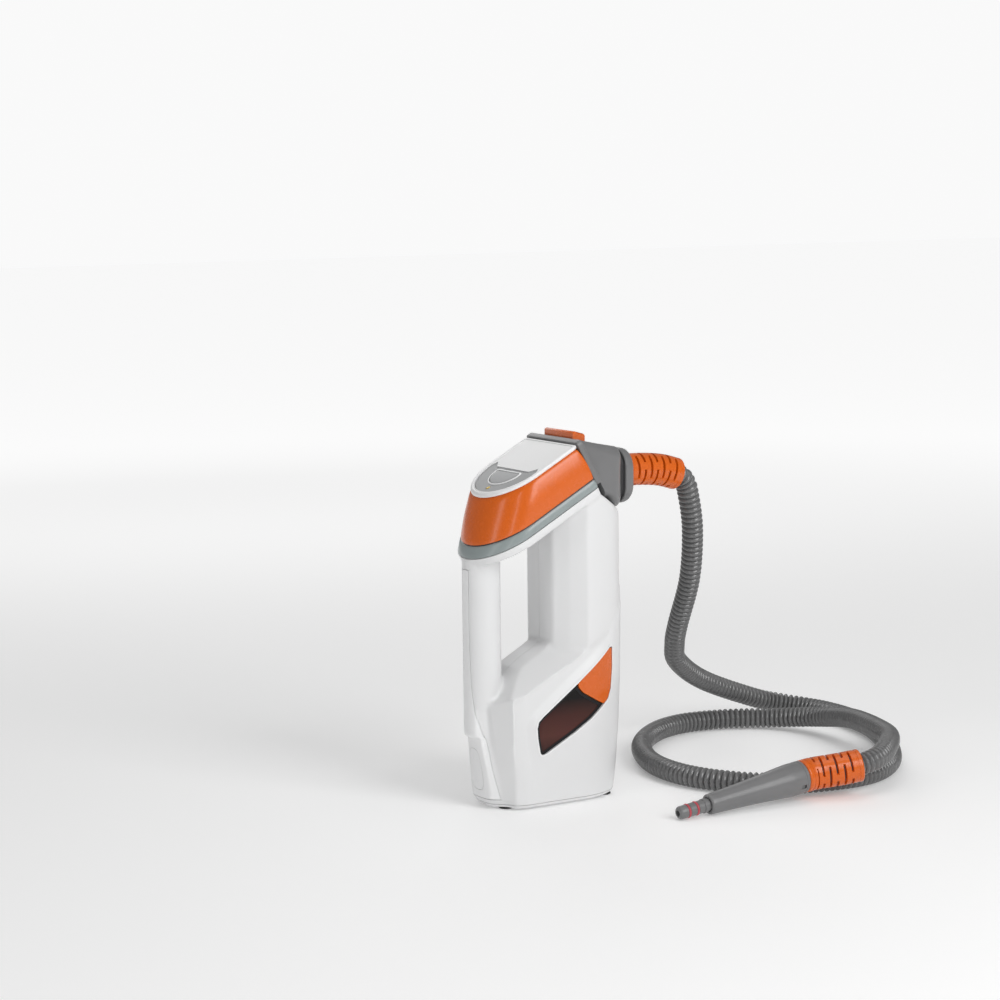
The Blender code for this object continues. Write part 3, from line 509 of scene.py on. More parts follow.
def slotted_cuff(name, route, node_name, first, rows):
    """A flexible sleeve with staggered slits across it, and a plain ring at each end."""
    path, length = smooth_path(route, CUFF_SPACING)

    def slit(distance, angles):
        row = (distance - first) / SLOT_PITCH
        if row < -0.5 or row > rows - 0.5:
            return np.zeros(len(angles), dtype=bool)
        nearest = round(row)
        if abs(row - nearest) * SLOT_PITCH > SLOT_WIDTH / 2:
            return np.zeros(len(angles), dtype=bool)
        shift = 0.0 if nearest % 2 else SLOT_TURN / 2
        return np.mod(angles + shift, SLOT_TURN) < SLOT_ANGLE

    def radius_at(distance, angles):
        edge = min(distance, length - distance)
        base = CUFF_RADIUS - 0.9 * (1.0 - min(1.0, edge / 1.2)) ** 2
        groove = 0.35 if abs(edge - 4.2) < 0.5 else 0.0
        return np.where(slit(distance, angles), CUFF_RADIUS - SLOT_DEPTH, base - groove)

    sleeve = swept(name, path, radius_at, CUFF_SEGMENTS)
    finish_piece(sleeve, "orange_plastic", nodes=(node_name,), angle=CUT_SMOOTH)
    # The slit floors take the dark plastic: painted shade in the slits
    sleeve.data.materials.append(LOOKS["dark_plastic"])
    middle = np.array([tuple(p.center) for p in sleeve.data.polygons]) * PER_METRE - SHIFT_ROW
    nearest = np.empty(len(middle))
    batch = 4000
    for start in range(0, len(middle), batch):
        apart = middle[start:start + batch, None, :] - path[None, ::6, :]
        nearest[start:start + batch] = np.sqrt((apart ** 2).sum(axis=2)).min(axis=1)
    shallow, deep = (CUFF_RADIUS - SLOT_DEPTH * share for share in PAINTED_SLIT_SHADE)
    painted_shade_faces = (nearest < shallow) & (nearest > deep)
    sleeve.data.polygons.foreach_set("material_index", painted_shade_faces.astype(np.int32))
    return sleeve


cuff_top = slotted_cuff("cuff_top", [(0, 68.8, 267), (0, 90, 266.7), (0, 110, 264.6), (0, 127, 260)],
                        "hose_cuff_top", 12.5, 7)
cuff_end = slotted_cuff("cuff_end", [(142.5, 211, 25.9), (135.5, 193.5, 23.2), (129.5, 179, 21.4),
                                     (127.2, 171, 20.5), (127.0, 162.5, 19.56)], "hose_cuff_end", 10.0, 6)

NOZZLE_WIDE = Vector((127.0, 162.0, 19.5))
NOZZLE_NARROW = Vector((125.5, 69.0, 9.0))
nozzle_line = (NOZZLE_NARROW - NOZZLE_WIDE).normalized()
nozzle_length = (NOZZLE_NARROW - NOZZLE_WIDE).length


def nozzle_profile():
    """A grooved socket and a long taper outside, and a bore that narrows at the tip."""
    profile = [(11.0, 0.0), (13.0, 0.0), (13.5, 0.5), (13.5, 2.6), (13.2, 2.9), (13.2, 3.5), (13.5, 3.8)]
    for i in range(31):
        share = i / 30
        ease = min(1.0, share ** 1.15 * (1.6 - 0.6 * share))
        profile.append((13.5 - 5.1 * ease, 13.0 + (nozzle_length - 15.0) * share))
    profile += [(8.2, nozzle_length - 0.8), (7.6, nozzle_length), (6.0, nozzle_length),
                (5.8, nozzle_length - 4.0), (11.0, 12.0)]
    return profile


nozzle = turned("nozzle", nozzle_profile(), NOZZLE_WIDE, nozzle_line, 72, closed=True)
side_way = nozzle_line.cross(Vector((0, 0, 1))).normalized()
side_way = -side_way if side_way.x < 0 else side_way
notch_at = NOZZLE_WIDE + nozzle_line * 6.2 + side_way * 11.0 - Vector((0, 0, 4.5))
notch = prism("notch", [(-2.6, -1.6), (2.6, -1.6), (2.6, 1.6), (-2.6, 1.6)], 0.0, 8.0,
              (nozzle_line, nozzle_line.cross(side_way), side_way), notch_at)
fuse(nozzle, notch, spare=False)
finish_piece(nozzle, "grey_plastic", nodes=("nozzle_shell",))

connector_start = NOZZLE_WIDE + nozzle_line * (nozzle_length - 20)
connector_profile = [(2.6, 0), (5.4, 0), (5.4, 22.5), (5.9, 22.6), (5.9, 25.4), (5.4, 25.5), (5.4, 31),
                     (4.2, 31.05), (4.2, 33.35), (5.4, 33.4), (5.4, 39), (4.2, 39.05), (4.2, 41.35),
                     (5.4, 41.4), (5.4, 46), (5.1, 47.6), (4.4, 48.6), (3.6, 49), (2.6, 49), (2.4, 47)]
connector = turned("connector", connector_profile, connector_start, nozzle_line, 48, closed=True)
finish_piece(connector, "grey_plastic", nodes=("nozzle_connector",))
SEAL_RADIUS, SEAL_THICK = 5.0, 0.95
seal_section = [(SEAL_RADIUS + SEAL_THICK * math.cos(a * math.pi / 6), SEAL_THICK * math.sin(a * math.pi / 6))
                for a in range(12)]
for number, distance in enumerate((32.2, 40.2), 1):
    ring = turned("seal_ring_%d" % number, seal_section, connector_start + nozzle_line * distance,
                  nozzle_line, 48, True)
    finish_piece(ring, "seal_red", nodes=("o_ring_%d" % number,))


# ------------------------------------------------------------- white casing

def back_arc(half_width, centre_y, back_y, steps):
    """A quarter of the rounded back."""
    points = []
    for i in range(steps + 1):
        angle = math.pi / 2 * i / steps
        points.append((half_width * math.cos(angle), centre_y + (back_y - centre_y) * math.sin(angle)))
    points[-1] = (0.0, back_y)
    return points


def column_plan(t, steps):
    """Plan of the tall rear column, inset by t."""
    front = COLUMN_FRONT
    half = [(0.0, front + t), (10.0, front + t), (17.5 - t * 0.4, front + t)]
    half += [(20.3 - t * 0.8, front + 1.2 + t * 0.9), (30.5 - t * 0.9, 0.2 + t * 0.6)]
    half += back_arc(COLUMN_HALF - t, ARC_Y, 62.0 - t, steps)
    return mirrored(half)


def base_plan(half_width, front, flat, side_y, back_y, t, steps):
    """Plan of the lower body at one height, inset by t."""
    half = [(0.0, front + t), (flat * 0.6 - t * 0.3, front + 0.4 + t)]
    half += [(flat - t * 0.6, front + 2.4 + t), (flat + 6.0 - t, front + 10.0 + t * 0.8)]
    half += [(half_width - 4.0 - t, side_y - 6.0 + t * 0.5), (half_width - 1.2 - t, side_y + 2.0)]
    half += back_arc(half_width - t, ARC_Y, back_y - t, steps)
    return mirrored(half)


BASE_Z = 1.5
BASE_SECTIONS = [
    # height, half width, front, flat half, side start, back
    (1.5, 33.0, -65.0, 13.0, -46.0, 55.5),
    (8.0, 34.6, -69.5, 14.5, -46.5, 57.0),
    (30.0, 36.6, -72.0, 14.0, -47.0, 59.0),
    (60.0, 38.6, -76.0, 11.0, -49.0, 61.0),
    (95.0, 40.4, -80.0, 8.0, -51.0, 62.4),
    (175.0, 42.2, -80.3, 6.0, -51.0, 63.2),
]
# The finger opening's floor, from the column forwards to the handle
FLOOR_LINE = [(-9.0, 138.0), (-11.5, 131.0), (-18.0, 126.5), (-30.0, 120.0), (-40.0, 113.5),
              (-48.0, 105.5), (-54.0, 99.0), (-60.0, 92.5), (-67.0, 88.5)]


def ridge_height(y):
    """Where the lower body's side turns in towards the column."""
    return 94.0 + 0.53 * (y + 53.0)


HEAD_STEPS = 44             # around a quarter of its front


def head_yz(u, n):
    point = HEAD_ORIGIN + HEAD_U * u + HEAD_N * n
    return (point.y, point.z)


def head_outline(n, t):
    """D-shaped outline of the head at height n above the band's lower edge."""
    share = n / HEAD_HEIGHT
    half_width = 42.0 - 3.2 * share - t
    front = -87.0 + 36.0 * share + t
    centre = front + half_width * 1.02
    corner = 2.0
    half = [(0.0, HEAD_BACK - t), (half_width * 0.5, HEAD_BACK - t), (half_width - corner, HEAD_BACK - t)]
    for i in range(1, 5):
        angle = math.pi / 2 * i / 4
        half.append((half_width - corner + corner * math.sin(angle),
                     HEAD_BACK - t - corner + corner * math.cos(angle)))
    straight = HEAD_BACK - t - corner - centre
    for i in range(1, 12):
        half.append((half_width, centre + straight * (1.0 - i / 12)))
    for i in range(HEAD_STEPS + 1):
        angle = math.pi / 2 * i / HEAD_STEPS
        half.append((half_width * math.cos(angle), centre - (centre - front) * math.sin(angle)))
    half[-1] = (0.0, front)
    return mirrored(half)


def head_ring(n, t):
    return [Vector((x, 0, 0)) + HEAD_ORIGIN + HEAD_U * u + HEAD_N * n for x, u in head_outline(n, t)]


def body_solid(name, t, low=BASE_Z, steps=10):
    """The outer form of the unit, inset by t, without the head."""
    rows = []
    for z, half_width, front, flat, side_y, back_y in BASE_SECTIONS:
        height = low if z == BASE_Z else z
        rows.append([(x, y, height) for x, y in base_plan(half_width, front, flat, side_y, back_y, t, steps)])
    body = loft(name, rows)
    above = [(y + t * 0.5, z - t) for y, z in FLOOR_LINE]
    above = [(90.0, 138.0 - t)] + above + [(-110.0, 86.0 - t), (-110.0, 200.0), (90.0, 200.0)]
    opening = prism("opening", above, -80.0, 80.0, SIDE)
    back_block = prism("back_block", [(-9.0 + t, 90.0), (95.0, 90.0), (95.0, 210.0), (-9.0 + t, 210.0)],
                       -85.0, 85.0, SIDE)
    fuse(opening, back_block, spare=False)
    fuse(body, opening, spare=False)
    for side in (-1.0, 1.0):      # cut the shoulders off above the ridge
        rows = []
        for y in (-100.0, 100.0):
            ridge = ridge_height(y) - t
            rows.append([(side * 16.0, y, ridge + 13.5), (side * 70.0, y, ridge - 19.5),
                         (side * 70.0, y, ridge + 200.0), (side * 16.0, y, ridge + 200.0)])
        fuse(body, loft("wedge", rows), spare=False)
    column = loft("column", [[(x, y, z) for x, y in column_plan(t, steps)] for z in (90.0, 330.0)])
    top_plate = prism("top_plate", head_outline(0.0, t), -LIP + t, 60.0, HEAD, HEAD_ORIGIN)
    keep_outline = [(-110.0, -20.0), (200.0, -20.0), (200.0, 140.0), (62.0, 232.0 - t), (49.0, 240.5 - t),
                    head_yz(HEAD_BACK - t, -6.0 - t), head_yz(HEAD_BACK - t, 70.0), (-110.0, 330.0)]
    keep_tool = prism("keep", keep_outline, -80.0, 80.0, SIDE)
    handle = turned("handle", [(0, 0), (HANDLE_RADIUS - t, 0), (HANDLE_RADIUS - t, 180.0), (0, 180.0)],
                    (0, HANDLE_Y, 60.0), (0, 0, 1), 4 * steps)
    for piece in (column, handle, top_plate):
        fuse(body, piece, "UNION", spare=False)
    fuse(body, keep_tool, "INTERSECT", spare=False)
    return body


def soften(body, voxel, rounds):
    """Round all the edges off by remeshing and evening out."""
    modifier = body.modifiers.new("remesh", "REMESH")
    modifier.mode = "VOXEL"
    modifier.voxel_size = voxel * MM
    settle(body)
    relax(body, rounds)


FIELD_PROUD = 0.7           # how far the window field stands out
FIELD_RISE = 2.7            # how much lower the side around it is
FIELD_SLOPE = 7.0           # width of the slope between them


def raise_field(body):
    """Set the sides back above and in front of the window, with a slope up to its border."""
    points = coordinates(body)
    facing = normals(body)
    y, z = points[:, 1], points[:, 2]
    above = (z - (77.5 + (y + 31.5) * 0.768)) * 0.79          # distance beyond the window's upper edge
    ahead = (-37.0 + (70.0 - z) * 0.165 - y) * 0.986          # distance in front of its front edge
    away = np.hypot(np.maximum(above, 0.0), np.maximum(ahead, 0.0))
    depth = np.clip((away - 1.5) / FIELD_SLOPE, 0.0, 1.0)
    depth *= 1.0 - smoothstep(33.0, 39.0, y)
    depth *= smoothstep(10.0, 60.0, z)
    side = np.sign(points[:, 0]) * smoothstep(0.55, 0.85, np.abs(facing[:, 0]))
    side *= 1.0 - smoothstep(-4.0, 4.0, z - ridge_height(y))
    raised = FIELD_PROUD * smoothstep(14.0, 40.0, z) * (1.0 - smoothstep(48.0, 58.0, y))
    points[:, 0] += side * (raised - depth * FIELD_RISE)
    move_to(body, points)


QUICK_VOXEL, FINE_VOXEL = 1.9, 1.15
FINE_STEPS = 24
# Depths below the outer face
SKIN_DEPTH = 0.8            # window glass and badge
BORDER_DEPTH = 0.5
BED_DEPTH = 1.3             # behind the badge
TRIM_DEPTH = 2.4            # inner face of the trim and the door
WALL_DEPTH = 2.9            # inner face of the casing

outer = body_solid("outer", 0.0, steps=FINE_STEPS)
soften(outer, FINE_VOXEL, 6)
raise_field(outer)
relax(outer, 2, 0.4)
skin = body_solid("skin", SKIN_DEPTH)
trim_inner = body_solid("trim_inner", TRIM_DEPTH)
cavity = body_solid("cavity", WALL_DEPTH, -5.0)

DOOR_GAP, WINDOW_GAP, BADGE_GAP, STRIP_GAP, COVER_GAP, HEAD_GAP = 0.35, 0.3, 0.3, 0.4, 0.35, 0.2
SIDE_REACH = (20.0, 60.0)   # tools for the side seen, and no further
FRONT_REACH = -110.0        # tools for the front start here
DOOR = [(37.0, 127.0), (33.1, 127.0), (0.5, 101.5), (2.0, 97.5), (6.0, 93.0), (20.5, 84.5), (27.5, 81.0),
        (32.5, 85.0), (35.5, 93.0), (37.3, 110.0)]
WINDOW = [(0.5, 101.5), (-31.5, 77.5), (-35.8, 73.5), (-37.0, 68.5), (-36.2, 60.0), (-33.6, 47.5),
          (-31.8, 45.4), (-28.5, 46.0), (0.0, 61.5), (15.0, 71.0), (27.5, 81.0), (20.5, 84.5),
          (6.0, 93.0), (2.0, 97.5)]
TIP_ROOM = [(37.0, 127.6), (33.9, 127.6)]       # lets the door's upper tip swing free
side_outline = TIP_ROOM + DOOR[2:3] + WINDOW[1:10] + DOOR[6:]
side_hole = prism("side_hole", side_outline, *SIDE_REACH, SIDE)
door_tool = prism("door_tool", rounded(inset(DOOR, DOOR_GAP), 2, 0.12), *SIDE_REACH, SIDE)
window_tool = prism("window_tool", inset(WINDOW, WINDOW_GAP), *SIDE_REACH, SIDE)

STRIP = [(4.6, 197.0), (4.6, 142.0), (6.0, 104.0), (9.0, 79.0), (13.0, 53.0), (17.0, 27.0), (19.5, 9.0)]


def strip_outline(widen):
    """The white strip's outline, down on the left and up on the right."""
    half = [(x + widen, z) for x, z in STRIP]
    half[0] = (half[0][0], STRIP[0][1] + widen)
    half[-1] = (half[-1][0], STRIP[-1][1] - widen)
    return [(-x, z) for x, z in half] + half[::-1]


strip_tool = prism("strip_tool", strip_outline(-0.05), FRONT_REACH, -56.0, FRONT)
strip_hole = prism("strip_hole", strip_outline(STRIP_GAP), FRONT_REACH, -55.7, FRONT)
BADGE = rounded([(-10.0, 15.0), (10.0, 15.0), (7.5, 50.0), (-7.5, 50.0)], 3, 0.2)
badge_tool = prism("badge_tool", inset(BADGE, BADGE_GAP), FRONT_REACH, -52.0, FRONT)
badge_hole = prism("badge_hole", BADGE, FRONT_REACH, -52.0, FRONT)
fuse(badge_hole, body_solid("badge_bed", BED_DEPTH), spare=False)

cut_back = HEAD_BACK + HEAD_GAP
head_cut = prism("head_cut", [(-90, -130), (90, -130), (90, cut_back), (-90, cut_back)],
                 0.0, 90.0, HEAD, HEAD_ORIGIN)
cover_cut = block("cover_cut", (-90, -120, -10), (90, 120, COVER_TOP + COVER_GAP))
shell = copy_of("shell", outer)
for tool in (cavity, strip_hole, side_hole):
    fuse(shell, tool)
for tool in (head_cut, cover_cut):
    fuse(shell, tool, spare=False)
# Bores for the steam tube, in the top, and for the mains gland, in the far side
for start, direction, radius in (((0, 38, 225), (0, 0, 1), 5.0), ((-60, 16, 24), (1, 0, 0), 5.3)):
    bore = turned("bore", [(0, 0), (radius, 0), (radius, 40), (0, 40)], start, direction, 32)
    fuse(shell, bore, spare=False)

SPLIT = 0.12                # half gap between the casing's halves
for name, low_x, high_x, replaced in (("casing_right", SPLIT, 120, "right_shell"),
                                      ("casing_left", -120, -SPLIT, "left_shell")):
    piece = copy_of(name, shell)
    fuse(piece, block("half", (low_x, -150, -20), (high_x, 150, 340)), "INTERSECT", spare=False)
    finish_piece(piece, "white_plastic", nodes=(replaced,), angle=CUT_SMOOTH)
drop(shell)

trim = copy_of("handle_trim", outer)
fuse(trim, strip_tool, "INTERSECT", spare=False)
fuse(trim, trim_inner)
fuse(trim, badge_hole, spare=False)
finish_piece(trim, "trim_white", nodes=("front_trim",), angle=CUT_SMOOTH)
badge = copy_of("blank_badge", outer)
fuse(badge, badge_tool, "INTERSECT", spare=False)
fuse(badge, skin)
finish_piece(badge, "trim_white", nodes=("badge_plate",), angle=CUT_SMOOTH)

door = copy_of("filler_door", outer)
fuse(door, door_tool, "INTERSECT", spare=False)
fuse(door, trim_inner)
finish_piece(door, "orange_plastic", body="fill_door", nodes=("fill_door",), angle=CUT_SMOOTH)

window = copy_of("smoked_window", skin)
fuse(window, window_tool, "INTERSECT")
fuse(window, cavity)
finish_piece(window, "smoked_clear", nodes=("tank_window",), angle=CUT_SMOOTH)

cover = copy_of("foot_cover", outer)
fuse(cover, block("slice", (-90, -120, -10), (90, 120, COVER_TOP)), "INTERSECT", spare=False)
SCREWS = [(-21.0, -42.0), (21.0, -42.0), (-26.0, 30.0), (26.0, 30.0)]
SINK = [(0, 0), (3.4, 0), (3.4, 4.0), (1.9, 4.0), (1.9, 12.0), (0, 12.0)]
for x, y in SCREWS:
    fuse(cover, turned("sink", SINK, (x, y, -1), (0, 0, 1), 32), spare=False)
finish_piece(cover, "white_plastic", nodes=("base_cover",), angle=CUT_SMOOTH)

# A bead frames the window and the door; its raised edge catches light, and its brighter trim white adds a
# painted highlight along the rim
bead = copy_of("window_bead", outer)
BEAD_PROUD, BEAD_WIDTH = 0.35, 1.3
move_to(bead, coordinates(bead) + normals(bead) * BEAD_PROUD)
fuse(bead, prism("bead_tool", rounded(inset(side_outline, -BEAD_WIDTH), 1, 0.15), *SIDE_REACH, SIDE),
     "INTERSECT", spare=False)
fuse(bead, side_hole)
fuse(bead, outer)
finish_piece(bead, "trim_white", angle=CUT_SMOOTH)

# A black border lies on the edge of the glass
BORDER_WIDTH = 2.6
border = body_solid("window_border", BORDER_DEPTH, steps=FINE_STEPS)
fuse(border, window_tool, "INTERSECT", spare=False)
fuse(border, prism("inner", rounded(inset(WINDOW, BORDER_WIDTH), 2, 0.15), *SIDE_REACH, SIDE), spare=False)
fuse(border, skin)
finish_piece(border, "border_black", angle=CUT_SMOOTH)

drop(outer, skin, trim_inner, cavity, side_hole, strip_hole)


# --------------------------------------------------------------------- head

def head_band_piece(name, profile, look, nodes=()):
    """A hoop around the head from a closed profile of (height, inset) pairs."""
    rows = [head_ring(n, t) for n, t in profile]
    piece = loft(name, rows + [rows[0]], caps=False)
    finish_piece(piece, look, nodes=nodes)


band_profile = [(0.35, 2.6), (0.35, 0.7), (0.7, 0.25), (1.4, 0.0), (4.0, -0.15), (6.6, 0.0), (7.2, 0.2),
                (7.6, 0.7), (7.6, 2.6)]
head_band_piece("grey_band", band_profile, "band_grey", ("head_band",))
head_band_piece("seam_fill", [(7.0, 2.5), (7.0, 1.3), (9.4, 1.3), (9.4, 2.5)], "dark_plastic")
skirt_profile = [(8.5, 2.5), (8.5, 0.7), (8.8, 0.2), (9.5, 0.0)]
for step in range(1, 10):
    share = step / 10
    skirt_profile.append((9.5 + 23.0 * share, -0.7 * math.sin(math.pi * share)))
skirt_profile += [(32.5, 0.0), (34.2, 0.25), (35.6, 0.7), (36.6, 1.4), (37.1, 2.4), (37.1, 3.4)]
head_band_piece("orange_skirt", skirt_profile, "orange_plastic", ("head_skirt",))
rim_profile = [(36.8, 3.6), (37.3, 2.2), (37.3, 1.1), (38.4, 0.35), (39.6, 0.3), (40.2, 0.8), (40.35, 1.5),
               (40.2, 2.2), (39.7, 2.6), (39.4, 3.6)]
head_band_piece("panel_rim", rim_profile, "trim_white")


def button_outline(grow, steps=22):
    """The D-shaped button: a straight rear edge and a round front."""
    flat, front, half_width = -18.0, -35.0, 17.0 + grow
    half = [(0.0, flat + grow), (8.0, flat + grow), (half_width - 2.0, flat + grow),
            (half_width - 0.8, flat - 0.4 + grow), (half_width, flat - 1.4)]
    for i in range(1, steps + 1):
        angle = math.pi / 2 * i / steps
        reach = (flat - 2.0 - front + grow) * math.sin(angle)
        half.append((half_width * math.cos(angle), flat - 2.0 - reach))
    half[-1] = (0.0, front - grow)
    return mirrored(half)


def bezel_outline(grow, steps=30):
    """The grey field around the button, with two horns at its rear corners."""
    half = [(0.0, -14.0 + grow), (12.0, -14.0 + grow), (24.0, -14.0 + grow), (28.0, -10.6 + grow),
            (31.0 + grow, -8.0 + grow), (34.5 + grow, -13.0)]
    for i in range(1, steps + 1):
        angle = math.pi / 2 * i / steps
        half.append(((34.5 + grow) * math.cos(angle), -14.0 - (33.0 + grow) * math.sin(angle)))
    half[-1] = (0.0, -47.0 - grow)
    return mirrored(half)


def plate(name, outline_at, low, high, edge):
    """A flat piece on the head with a rounded upper edge."""
    levels = [(low, 0.0), (high - edge, 0.0), (high - edge * 0.45, -edge * 0.25),
              (high - edge * 0.1, -edge * 0.65), (high, -edge * 1.3)]
    rows = [[Vector((x, 0, 0)) + HEAD_ORIGIN + HEAD_U * u + HEAD_N * n for x, u in outline_at(grow)]
            for n, grow in levels]
    return loft(name, rows)


def head_tool(name, outline, low, high):
    return prism(name, outline, low, high, HEAD, HEAD_ORIGIN)


panel = plate("light_panel", lambda grow: head_outline(HEAD_HEIGHT, 2.9 - grow), 37.5, 39.9, 0.3)
fuse(panel, head_tool("tool", bezel_outline(0.3), 30.0, 60.0), spare=False)
finish_piece(panel, "panel_grey", nodes=("top_panel",))
bezel = plate("control_field", bezel_outline, 36.4, 39.2, 0.3)
fuse(bezel, head_tool("tool", button_outline(0.35), 20.0, 60.0), spare=False)
LENS_U, LENS_HOLE = -40.7, 2.3
lens_round = [(LENS_HOLE * math.cos(a * math.pi / 12), LENS_U + LENS_HOLE * math.sin(a * math.pi / 12))
              for a in range(24)]
fuse(bezel, head_tool("tool", lens_round, 20.0, 60.0), spare=False)
finish_piece(bezel, "button_grey", nodes=("control_bezel",))


def outline_rim(name, outline_at, width, low, high):
    """A raised white line that follows an outline."""
    piece = plate(name, lambda grow: outline_at(width + grow), low, high, 0.4)
    fuse(piece, head_tool("tool", outline_at(0.0), 20.0, 60.0), spare=False)
    finish_piece(piece, "trim_white")


outline_rim("button_rim", lambda grow: button_outline(grow + 0.35), 1.3, 38.9, 39.9)
push = plate("push_button", button_outline, 33.2, 39.9, 0.8)
finish_piece(push, "button_grey", body="control_button", nodes=("control_button",))
lens = turned("pilot_lens", [(0, 0), (2.0, 0), (2.0, 3.0), (1.6, 3.35), (0.9, 3.55), (0, 3.6)],
              HEAD_ORIGIN + HEAD_U * LENS_U + HEAD_N * 36.0, HEAD_N, 32)
finish_piece(lens, "lens", nodes=("indicator_lens",))


# ------------------------------------------------------------------ adapter

def rounded_ring(half_width, low, high, radius, place_point, steps=12):
    """A rectangle with round corners; place_point puts its flat points in space."""
    ring = []
    centres = [(half_width - radius, high - radius, 0), (-half_width + radius, high - radius, 90),
               (-half_width + radius, low + radius, 180), (half_width - radius, low + radius, 270)]
    for cx, cz, start in centres:
        for i in range(steps + 1):
            angle = math.radians(start + 90 * i / steps)
            ring.append(Vector(place_point(cx + radius * math.cos(angle), cz + radius * math.sin(angle))))
    return ring


def on_slope(u):
    return lambda x, n: Vector((x, 0, 0)) + HEAD_ORIGIN + HEAD_U * u + HEAD_N * n


def standing(y):
    return lambda x, z: (x, y, z)


def ease_rings(keys, steps):
    """Rings that pass smoothly through the key rings."""
    table = [np.array([tuple(p) for p in ring]) for ring in keys]
    table = [table[0] * 2 - table[1]] + table + [table[-1] * 2 - table[-2]]
    made = []
    for i in range(1, len(table) - 2):
        p0, p1, p2, p3 = table[i - 1:i + 3]
        for step in range(steps):
            s = step / steps
            made.append(0.5 * (2 * p1 + (p2 - p0) * s + (2 * p0 - 5 * p1 + 4 * p2 - p3) * s ** 2
                               + (3 * p1 - p0 - 3 * p2 + p3) * s ** 3))
    made.append(table[-2])
    return made


def stacked(name, levels):
    """A plate from the arguments of one rounded ring a level."""
    return loft(name, [rounded_ring(*level) for level in levels])


flange = stacked("flange", [(38.8, 1.2, 40.9, 2.4, on_slope(HEAD_BACK + 0.4)),
                            (39.3, 0.7, 41.4, 2.9, on_slope(HEAD_BACK + 0.8)),
                            (39.4, 0.6, 41.5, 3.0, on_slope(HEAD_BACK + 1.6)),
                            (39.4, 0.6, 41.5, 3.0, on_slope(HEAD_BACK + 4.8)),
                            (39.1, 0.9, 41.2, 2.7, on_slope(HEAD_BACK + 5.6)),
                            (38.4, 1.6, 40.5, 2.2, on_slope(HEAD_BACK + 6.0))])
adapter = loft("adapter", ease_rings([rounded_ring(37.0, -13.5, 40.2, 8.0, on_slope(HEAD_BACK + 5.5)),
                                      rounded_ring(36.5, -17.0, 38.0, 8.0, on_slope(HEAD_BACK + 9.0)),
                                      rounded_ring(34.0, 243.7, 291.0, 8.5, standing(45.0)),
                                      rounded_ring(26.5, 239.8, 289.8, 10.0, standing(53.0)),
                                      rounded_ring(19.8, 240.2, 288.2, 11.0, standing(56.0))], 8)
               + [rounded_ring(19.3, 240.6, 287.8, 10.8, standing(56.7)),
                  rounded_ring(18.6, 241.2, 287.2, 10.6, standing(57.0))])
fuse(adapter, flange, "UNION", spare=False)
# Rooms for the unit's neck, for the steam port and its seal, and for the release button
PORT_ROOM = [(0, 0), (9.2, 0), (9.2, 7.6), (6.8, 7.61), (6.8, 15.6), (5.0, 15.61), (5.0, 50), (0, 50)]
for tool in (block("room", (-22, 0, 230), (22, 46, 284.2)),
             turned("room", PORT_ROOM, (0, 40, PORT_Z), (0, 1, 0), 40),
             block("room", (-22.4, 9.4, 288.0), (22.4, 22.6, 330))):
    fuse(adapter, tool, spare=False)
finish_piece(adapter, "grey_plastic", nodes=("adapter_shell",))

gasket = stacked("gasket", [(17.5, 242.5, 285.5, 12.0, standing(57.3)),
                            (16.9, 243.1, 284.9, 11.8, standing(58.0)),
                            (16.9, 243.1, 284.9, 11.8, standing(62.0)),
                            (17.5, 242.5, 285.5, 12.0, standing(62.7))])
finish_piece(gasket, "gasket", nodes=("adapter_gasket",))
collar_levels = [(19.3, 241.4, 286.0, 14.6, standing(63.0)), (19.9, 240.9, 286.5, 15.0, standing(63.7)),
                 (20.0, 240.8, 286.6, 15.0, standing(66.0)), (19.8, 241.0, 286.4, 15.0, standing(68.2)),
                 (19.3, 241.6, 285.8, 14.8, standing(70.0)), (18.6, 242.5, 284.9, 14.4, standing(71.2)),
                 (17.6, 244.0, 283.4, 14.0, standing(COLLAR_BACK))]
collar = stacked("collar", collar_levels)
CUFF_ROOM = [(0, 0), (5.0, 0), (5.0, 8.4), (13.8, 8.41), (13.8, 20), (0, 20)]
fuse(collar, turned("room", CUFF_ROOM, (0, 60, PORT_Z), (0, 1, 0), 64), spare=False)
finish_piece(collar, "grey_plastic", nodes=("adapter_collar",))


def release_profile():
    """Side profile of the release button, with grip ribs on its slanted top."""
    profile = [(10.0, 292.5), (22.0, 292.5), (22.0, 300.6), (21.6, 301.6), (20.6, 302.4)]
    rib_pitch = 2.4
    for i in range(3):
        y = 18.8 - i * rib_pitch
        z = 304.9 - (y - 12.4) * 2.4 / 8.2
        profile += [(y + 0.8, z - 0.24), (y + 0.5, z - 0.8), (y - 0.5, z - 0.5), (y - 0.8, z + 0.2)]
    profile += [(12.0, 304.9), (10.8, 304.5), (10.0, 303.6)]
    return profile


release_rows = []
for x, shrink in ((-21.8, 0.6), (-21.4, 0.15), (-20.8, 0.0), (20.8, 0.0), (21.4, 0.15), (21.8, 0.6)):
    release_rows.append([(x, y + (0.5 - (y - 10.0) / 12.0) * 2 * shrink, z - shrink * (z > 299.0))
                         for y, z in release_profile()])
release = loft("release_key", release_rows)
SPRING_BORE = [(0, 0), (4.2, 0), (4.2, 18.5), (0, 18.5)]
fuse(release, turned("bore", SPRING_BORE, (0, 16, 280), (0, 0, 1), 32), spare=False)
finish_piece(release, "orange_plastic", body="release_button", nodes=("release_button",))


# -------------------------------------------------- pieces kept from the CAD

KEPT = {
    "rubber": ["foot_1", "foot_2", "foot_3", "foot_4", "cord_gland", "fill_plug", "port_seal"],
    "steel": ["base_screw_1", "base_screw_2", "base_screw_3", "base_screw_4", "boiler", "thermostat",
              "release_spring"],
    "tank_clear": ["water_tank"],
    "dark_plastic": ["pump", "microswitch"],
    "silicone": ["feed_tube", "steam_tube", "boiler_tube"],
    "board_green": ["circuit_board"],
    "brass": ["steam_port"],
    "white_plastic": ["neck_housing"],
}
for look, names in KEPT.items():
    for name in names:
        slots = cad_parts[name].data.materials
        slots.clear()
        slots.append(LOOKS[look])


